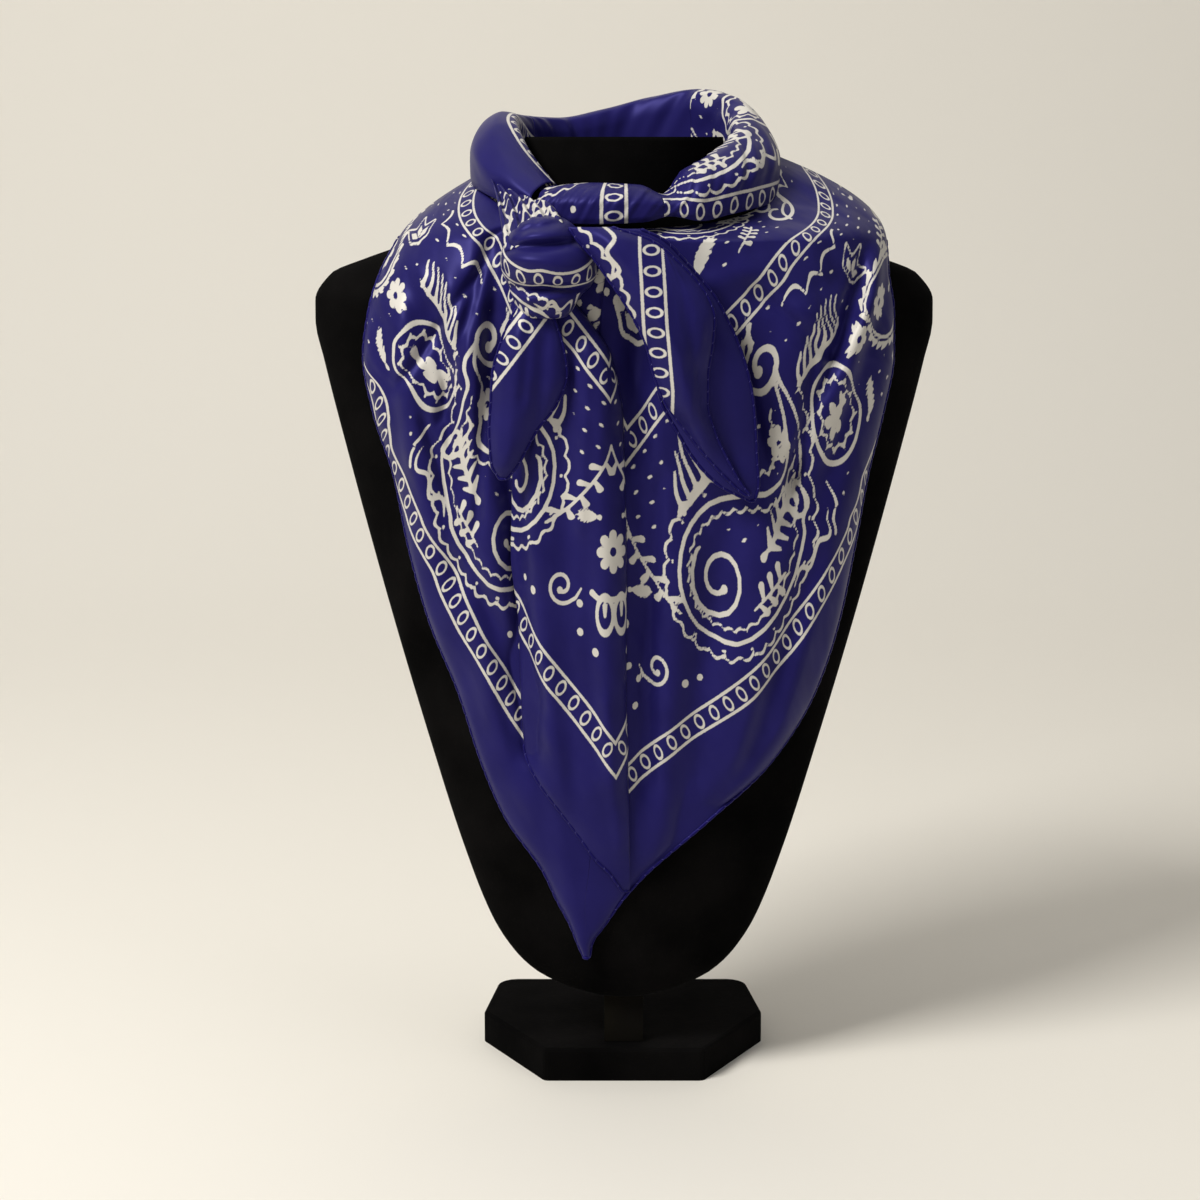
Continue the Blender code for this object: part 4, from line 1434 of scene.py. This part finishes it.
# %% The shoulders
def wing_place(chest_grid, column, anchor):
    """Carries the chest layer's print on over the shoulder, unrolled about the line where the two meet."""
    left_arm, sag = (LEFT_ARM, BIAS_SAG) if column == -1 else (LEFT_HALF_ARM, 0.0)
    first, second = corner_place(CORNER, RIGHT_ARM, left_arm, anchor, sag)(chest_grid)
    on_yoke = chest_grid[:, column, 2] >= YOKE_LINE - 1.0
    line = chest_grid[on_yoke, column]
    axis = (line[-1] - line[0]) / np.linalg.norm(line[-1] - line[0])
    first, second = first[on_yoke, column], second[on_yoke, column]
    climb = np.array([first[-1] - first[0], second[-1] - second[0]])
    climb /= np.linalg.norm(climb)
    over = np.array([climb[1], -climb[0]]) if column == -1 else np.array([-climb[1], climb[0]])

    def place(grid):
        back = grid if column == -1 else grid[:, ::-1]
        along = (back - line[0]) @ axis
        steps = np.diff(back, axis=1)
        steps = np.linalg.norm(steps - (steps @ axis)[:, :, None] * axis, axis=2)
        beyond = np.cumsum(np.concatenate([np.zeros((len(back), 1)), steps], axis=1), axis=1)
        placed_first = first[0] + climb[0] * along + over[0] * beyond
        placed_second = second[0] + climb[1] * along + over[1] * beyond
        if column == -1:
            return placed_first, placed_second
        return placed_first[:, ::-1], placed_second[:, ::-1]

    return place


wing_right_grid = make_sheet(
    "scarf_right_shoulder", "wing_right", wing_surface(1.0, HEM_RIGHT), 84, 76, wing_place(right_grid, -1, 0)
)
wing_left_grid = make_sheet(
    "scarf_left_shoulder", "wing_left", wing_surface(0.0, HEM_LEFT), 84, 76, wing_place(left_grid, 0, -1)
)


# %% The rolled ends round the neck
# The back roll turns its plain border inside: from which share of its section, and how far from the hem that lies.
RIM = 0.5
PLAIN = 22.0
# Where the band crosses the front twist, and where the twist's print starts.
TWIST_BAND = 43.0
TWIST_START = 150.0


def lengthwise(start, lip, slope=0.0, plain_inside=False):
    """Print that runs along a roll: start at its first column, lip at its lower edge, and none inside if plain."""

    def place(grid):
        middle = run_length(grid, 1)[len(grid) // 2][None, :]
        over = run_length(grid, 0)
        first = lip + over + slope * middle
        if plain_inside:
            first = np.where(over > RIM * over[-1], PLAIN, first)
        return first, start + middle + 0.0 * over

    return place


def twist_place(grid):
    """On the front twist the cloth turns, so that its band crosses the roll."""
    around = run_length(grid, 1)
    middle = around[len(grid) // 2][None, :] + 0.0 * around
    over = run_length(grid, 0)
    return BAND_CENTRE + TWIST_BAND - middle, TWIST_START + over


# Each stretch of the collar: its sheet, its node, its columns and rows, and its place on the flat cloth.
COLLAR_SHEETS = [
    ("scarf_twist_front", "collar_front", 60, 70, twist_place),
    ("scarf_roll_right", "collar_right", 150, 84, lengthwise(186.0, 46.0)),
    ("scarf_roll_back", "collar_back", 110, 76, lengthwise(364.0, 46.0, -0.48, True)),
    ("scarf_roll_left", "collar_left", 90, 76, lengthwise(504.0, -20.0, 0.3)),
]
for (name, node, columns, rows, place), start, end in zip(COLLAR_SHEETS, COLLAR_MEETS, COLLAR_MEETS[1:]):
    make_sheet(name, node, collar_surface(start, end), columns, rows, place)
make_sheet("scarf_nape_crossing", "nape_cross", crossing_surface, 84, 24, lengthwise(382.0, 78.0, -0.48))


# %% The cloth that runs from the collar down into the knot
GATHER_ANGLES = (212.0, 237.0)
GATHER_FOLDS = 4.5
GATHER_DEPTH = 1.3
GATHER_LIP = 0.84
GATHER_TUCK = -1.5
GATHER_BULGE = 5.0
GATHER_START = (66.0, 236.0)


def gather_surface(across, up):
    """A short bridge of drawn-up folds, from the roll's lower lip (up 1) to the top of the knot (up 0)."""
    angle = GATHER_ANGLES[0] + (GATHER_ANGLES[1] - GATHER_ANGLES[0]) * across
    start = collar_point(angle, np.full_like(across, GATHER_LIP), GATHER_TUCK)
    # The top of the knot, from its left shoulder up to its right, a little forward in the middle.
    end = np.column_stack([-63.0 + 31.0 * across, -103.0 - 6.0 * np.sin(pi * across), 474.0 + 14.0 * across])
    share = (1.0 - up)[:, None]
    drawn = start + (end - start) * share
    folds = GATHER_DEPTH * np.sin(2.0 * pi * GATHER_FOLDS * across + 1.4 * up) * np.sin(pi * up) ** 0.5
    drawn[:, 2] += folds + GATHER_BULGE * np.sin(pi * up)
    drawn[:, 1] -= folds
    return drawn


def gather_place(grid):
    """The gather shows the ring of motifs, from just inside the outer band."""
    return GATHER_START[0] + run_length(grid, 1), GATHER_START[1] + run_length(grid, 0)


make_sheet("scarf_gather", "knot", gather_surface, 50, 50, gather_place)


# %% The knot and the tails
KNOT_BAND_HEIGHT = 468.5
KNOT_START = 255.0
KNOT_SHOWN = 0.75


def knot_place(grid):
    """The outer band runs round the knot at one height."""
    around = run_length(grid, 1)
    middle = around[len(grid) // 2][None, :] + 0.0 * around
    height = run_length(grid, 0)
    band = np.interp(KNOT_BAND_HEIGHT, grid[:, 0, 2], height[:, 0])
    return BAND_CENTRE + band - height, KNOT_START + middle - KNOT_SHOWN * middle[:, -1:]


make_sheet("scarf_knot", "knot", knot_surface, 120, 90, knot_place)


# The right tail: its band of rings runs straight down from the knot, and its hem is the tail's right edge.
TAIL_BAND_X = ([402.0, 438.0, 474.0], [18.5, 15.0, 13.0])
# The left tail: its band climbs along the tail's upper left edge, from one point to the other.
LEFT_BAND_START, LEFT_BAND_END = np.array([-72.0, 398.5]), np.array([-47.0, 431.0])
LINE_FROM_HEM = 44.0
BAND_EDGE = 7.0
HEM_MARGIN = 3.0
# How far from the square's corner each tail's print starts: the right tail, the layer behind it, the left tail.
RIGHT_START, BEHIND_START, LEFT_START = 130.0, 200.0, 166.0
BEHIND_SHARE = 0.5


def right_tail_place(grid):
    """The band runs down the tail, and the border fills what is left to the hem."""
    x, height = grid[:, :, 0], grid[:, :, 2]
    band = np.interp(height, *TAIL_BAND_X)
    hem = x[:, -1:]
    border = LINE_FROM_HEM * np.clip((hem - x) / np.maximum(hem - band - BAND_EDGE, 1.0), 0.0, 1.0)
    return np.where(x < band + BAND_EDGE, BAND_CENTRE + band - x, border), RIGHT_START + height - height[0, 0]


def behind_tail_place(grid):
    """The layer behind shows its plain border alone, so its width is laid out at half."""
    across = run_length(grid, 1)
    return BEHIND_SHARE * (across[:, -1:] - across), BEHIND_START + grid[:, :, 2] - grid[0, 0, 2]


def left_tail_place(grid):
    """The band climbs along the upper left edge, and the border lies below it."""
    run = (LEFT_BAND_END - LEFT_BAND_START) / np.linalg.norm(LEFT_BAND_END - LEFT_BAND_START)
    x, height = grid[:, :, 0] - LEFT_BAND_START[0], grid[:, :, 2] - LEFT_BAND_START[1]
    outside = x * run[1] - height * run[0]
    return np.maximum(LINE_FROM_HEM - outside, HEM_MARGIN), LEFT_START + x * run[0] + height * run[1]


TAILS = [
    ("scarf_right_tail", "tail_right_front", TAIL_RIGHT_FRONT, 76, 136, right_tail_place),
    ("scarf_right_tail_behind", "tail_right_back", TAIL_RIGHT_BACK, 56, 100, behind_tail_place),
    ("scarf_left_tail", "tail_left", TAIL_LEFT, 50, 80, left_tail_place),
]
tail_grids = [
    make_sheet(name, node, panel_surface(table, tail_depth(node, table)), columns, rows, place)
    for name, node, table, columns, rows, place in TAILS
]


# %% [markdown]
# ## Rolled hems
# The edge of a silk square is rolled between finger and thumb and caught down with silk thread every few
# millimetres, so it is a thin round cord that each stitch pinches. A tube along each sheet's own edge makes it, and
# the stitches are short beads of thread that lie across it.

# %% Hems and their stitches
HEM_RADIUS = 1.0
STITCH_PITCH = 6.5
STITCH_BITE = 0.3
STITCH_REACH = 0.9
STITCH_LIFT = 0.72
STITCH_ACROSS, STITCH_ALONG = 0.8, 0.6
LAST_STITCH = 3.0
STITCH_SIZE = (0.9 * MM, 0.26 * MM, 0.26 * MM, 1.0)
HEM_AROUND = 10
HEM_STEP = 1.5
PLEAT_HEM_TOP = 205.0
stitches = bmesh.new()
hems = {}


def make_hem_silk():
    """The same dyed silk, plain, with the roll's close creases."""
    colours = {"Base_Color": "18144F", "Specular_Tint": "5450BE"}
    silk_hem, tree, shader = start_material("rolled_silk_hem", Roughness=0.42, **colours)
    place = add_node(tree, "ShaderNodeTexCoord").outputs["Object"]
    creases = add_node(tree, "ShaderNodeTexNoise", _0=place, Scale=900.0, Detail=3.0).outputs[0]
    bump = add_node(tree, "ShaderNodeBump", Height=creases, Distance=0.1 * MM, Strength=0.6)
    feed(tree, shader, Normal=bump.outputs["Normal"])
    return silk_hem


hem_silk = make_hem_silk()


def read_along(rows, length, at):
    """Points or slopes of a path, read at lengths along it."""
    return np.column_stack([np.interp(at, length, side) for side in rows.T])


def make_hem(name, node, path, toward=(0.0, -1.0, 0.0)):
    """A rolled hem along a path, pinched at each stitch and closed at both ends."""
    length = run_length(path[None], 1)[0]
    slopes = np.gradient(path, length + np.arange(len(length)) * 1e-9, axis=0)

    def frame_at(at):
        point, tangent = (read_along(rows, length, at) for rows in (path, slopes))
        tangent /= np.linalg.norm(tangent, axis=1)[:, None]
        side = np.cross(tangent, toward)
        side /= np.linalg.norm(side, axis=1)[:, None]
        return point, side, np.cross(side, tangent), tangent

    def surface(around, along):
        at = along * length[-1]
        point, side, front, _ = frame_at(at)
        pinch = 1.0 - STITCH_BITE * np.exp(-((wrap(at, STITCH_PITCH) / STITCH_REACH) ** 2))
        closed = np.sqrt(np.clip(np.minimum(at, length[-1] - at) / HEM_STEP, 0.0, 1.0))
        radius = (HEM_RADIUS * pinch * closed)[:, None]
        turn = (2.0 * pi * around)[:, None]
        return point + radius * (np.cos(turn) * side + np.sin(turn) * front)

    bm = lay_grid(surface, HEM_AROUND, int(length[-1] / HEM_STEP))[0]
    bmesh.ops.remove_doubles(bm, verts=bm.verts, dist=0.02 * MM)
    bmesh.ops.recalc_face_normals(bm, faces=bm.faces)
    hem = finish_piece(name, bm, hem_silk)
    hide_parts(node)
    for at in np.arange(STITCH_PITCH, length[-1] - LAST_STITCH, STITCH_PITCH):
        point, side, front, tangent = (row[0] for row in frame_at(np.array([at])))
        slant = Vector(STITCH_ACROSS * side + STITCH_ALONG * tangent)
        turn = slant.to_track_quat("X", "Z").to_matrix().to_4x4()
        place = Matrix.Translation(Vector(point + front * STITCH_LIFT * HEM_RADIUS) * MM)
        bead = place @ turn @ Matrix.Diagonal(STITCH_SIZE)
        bmesh.ops.create_icosphere(stitches, subdivisions=1, radius=1.0, matrix=bead)
    hems[name] = hem
    print(f"{name}: {length[-1]:.0f} mm of hem")


def edge_path(*stretches):
    """Grid edges joined into one path, evenly spaced."""
    points = np.vstack(stretches)
    apart = np.linalg.norm(np.diff(points, axis=0), axis=1)
    points = points[np.concatenate([[True], apart > 1e-3])]
    length = run_length(points[None], 1)[0]
    return read_along(points, length, np.linspace(0.0, length[-1], int(length[-1] / HEM_STEP)))


left_edge = left_grid[left_grid[:, 0, 2] < YOKE_LINE, 0]
right_edge = right_grid[right_grid[:, -1, 2] < YOKE_LINE, -1]
under_edge = edge_path(left_edge[::-1], left_grid[0], right_grid[0], right_edge)
make_hem("scarf_lower_hem", "front_under", under_edge)
low = top_grid[:, 0, 2] < PLEAT_HEM_TOP
make_hem("scarf_pleat_hem", "front_top", edge_path(top_grid[low, 0][::-1], top_grid[0]))
right_path = edge_path(wing_right_grid[0], wing_right_grid[:, -1])
left_path = edge_path(wing_left_grid[0][::-1], wing_left_grid[:, 0])
make_hem("scarf_right_shoulder_hem", "wing_right", right_path, (0.0, 0.0, 1.0))
make_hem("scarf_left_shoulder_hem", "wing_left", left_path, (0.0, 0.0, 1.0))
for (name, node, *_), grid in zip(TAILS, tail_grids):
    make_hem(f"{name}_hem", node, edge_path(grid[:, 0][::-1], grid[0], grid[:, -1]))

thread = start_material("silk_sewing_thread", Base_Color="2E2878", Roughness=0.35)[0]
hems["scarf_hem_stitches"] = finish_piece("scarf_hem_stitches", stitches, thread)

# %% How the sheets are held
BUST_ALONE = ["velvet_bust"]
LOWER_LAYER = ["scarf_lower_layer_left", "scarf_lower_layer_right"]
# Each sheet: how it is held, what it rests on, and the hem pieces that belong to it.
HOLDS = [
    ("scarf_lower_layer_left", "draped", BUST_ALONE, ["scarf_lower_hem", "scarf_hem_stitches"]),
    ("scarf_lower_layer_right", "draped", BUST_ALONE, []),
    ("scarf_upper_pleat", "folded", LOWER_LAYER, ["scarf_pleat_hem"]),
    ("scarf_right_shoulder", "draped", BUST_ALONE, ["scarf_right_shoulder_hem"]),
    ("scarf_left_shoulder", "draped", BUST_ALONE, ["scarf_left_shoulder_hem"]),
    *((name, "gathered", BUST_ALONE, []) for name, *_ in COLLAR_SHEETS),
    ("scarf_nape_crossing", "gathered", ["scarf_roll_back"], []),
    ("scarf_gather", "gathered", ["scarf_knot"], []),
    ("scarf_knot", "gathered", LOWER_LAYER, []),
    ("scarf_right_tail", "draped", ["scarf_right_tail_behind"], ["scarf_right_tail_hem"]),
    ("scarf_right_tail_behind", "draped", LOWER_LAYER, ["scarf_right_tail_behind_hem"]),
    ("scarf_left_tail", "draped", LOWER_LAYER, ["scarf_left_tail_hem"]),
]


for name, held, rests_on, hem_names in HOLDS:
    [hems[hem] for hem in hem_names]
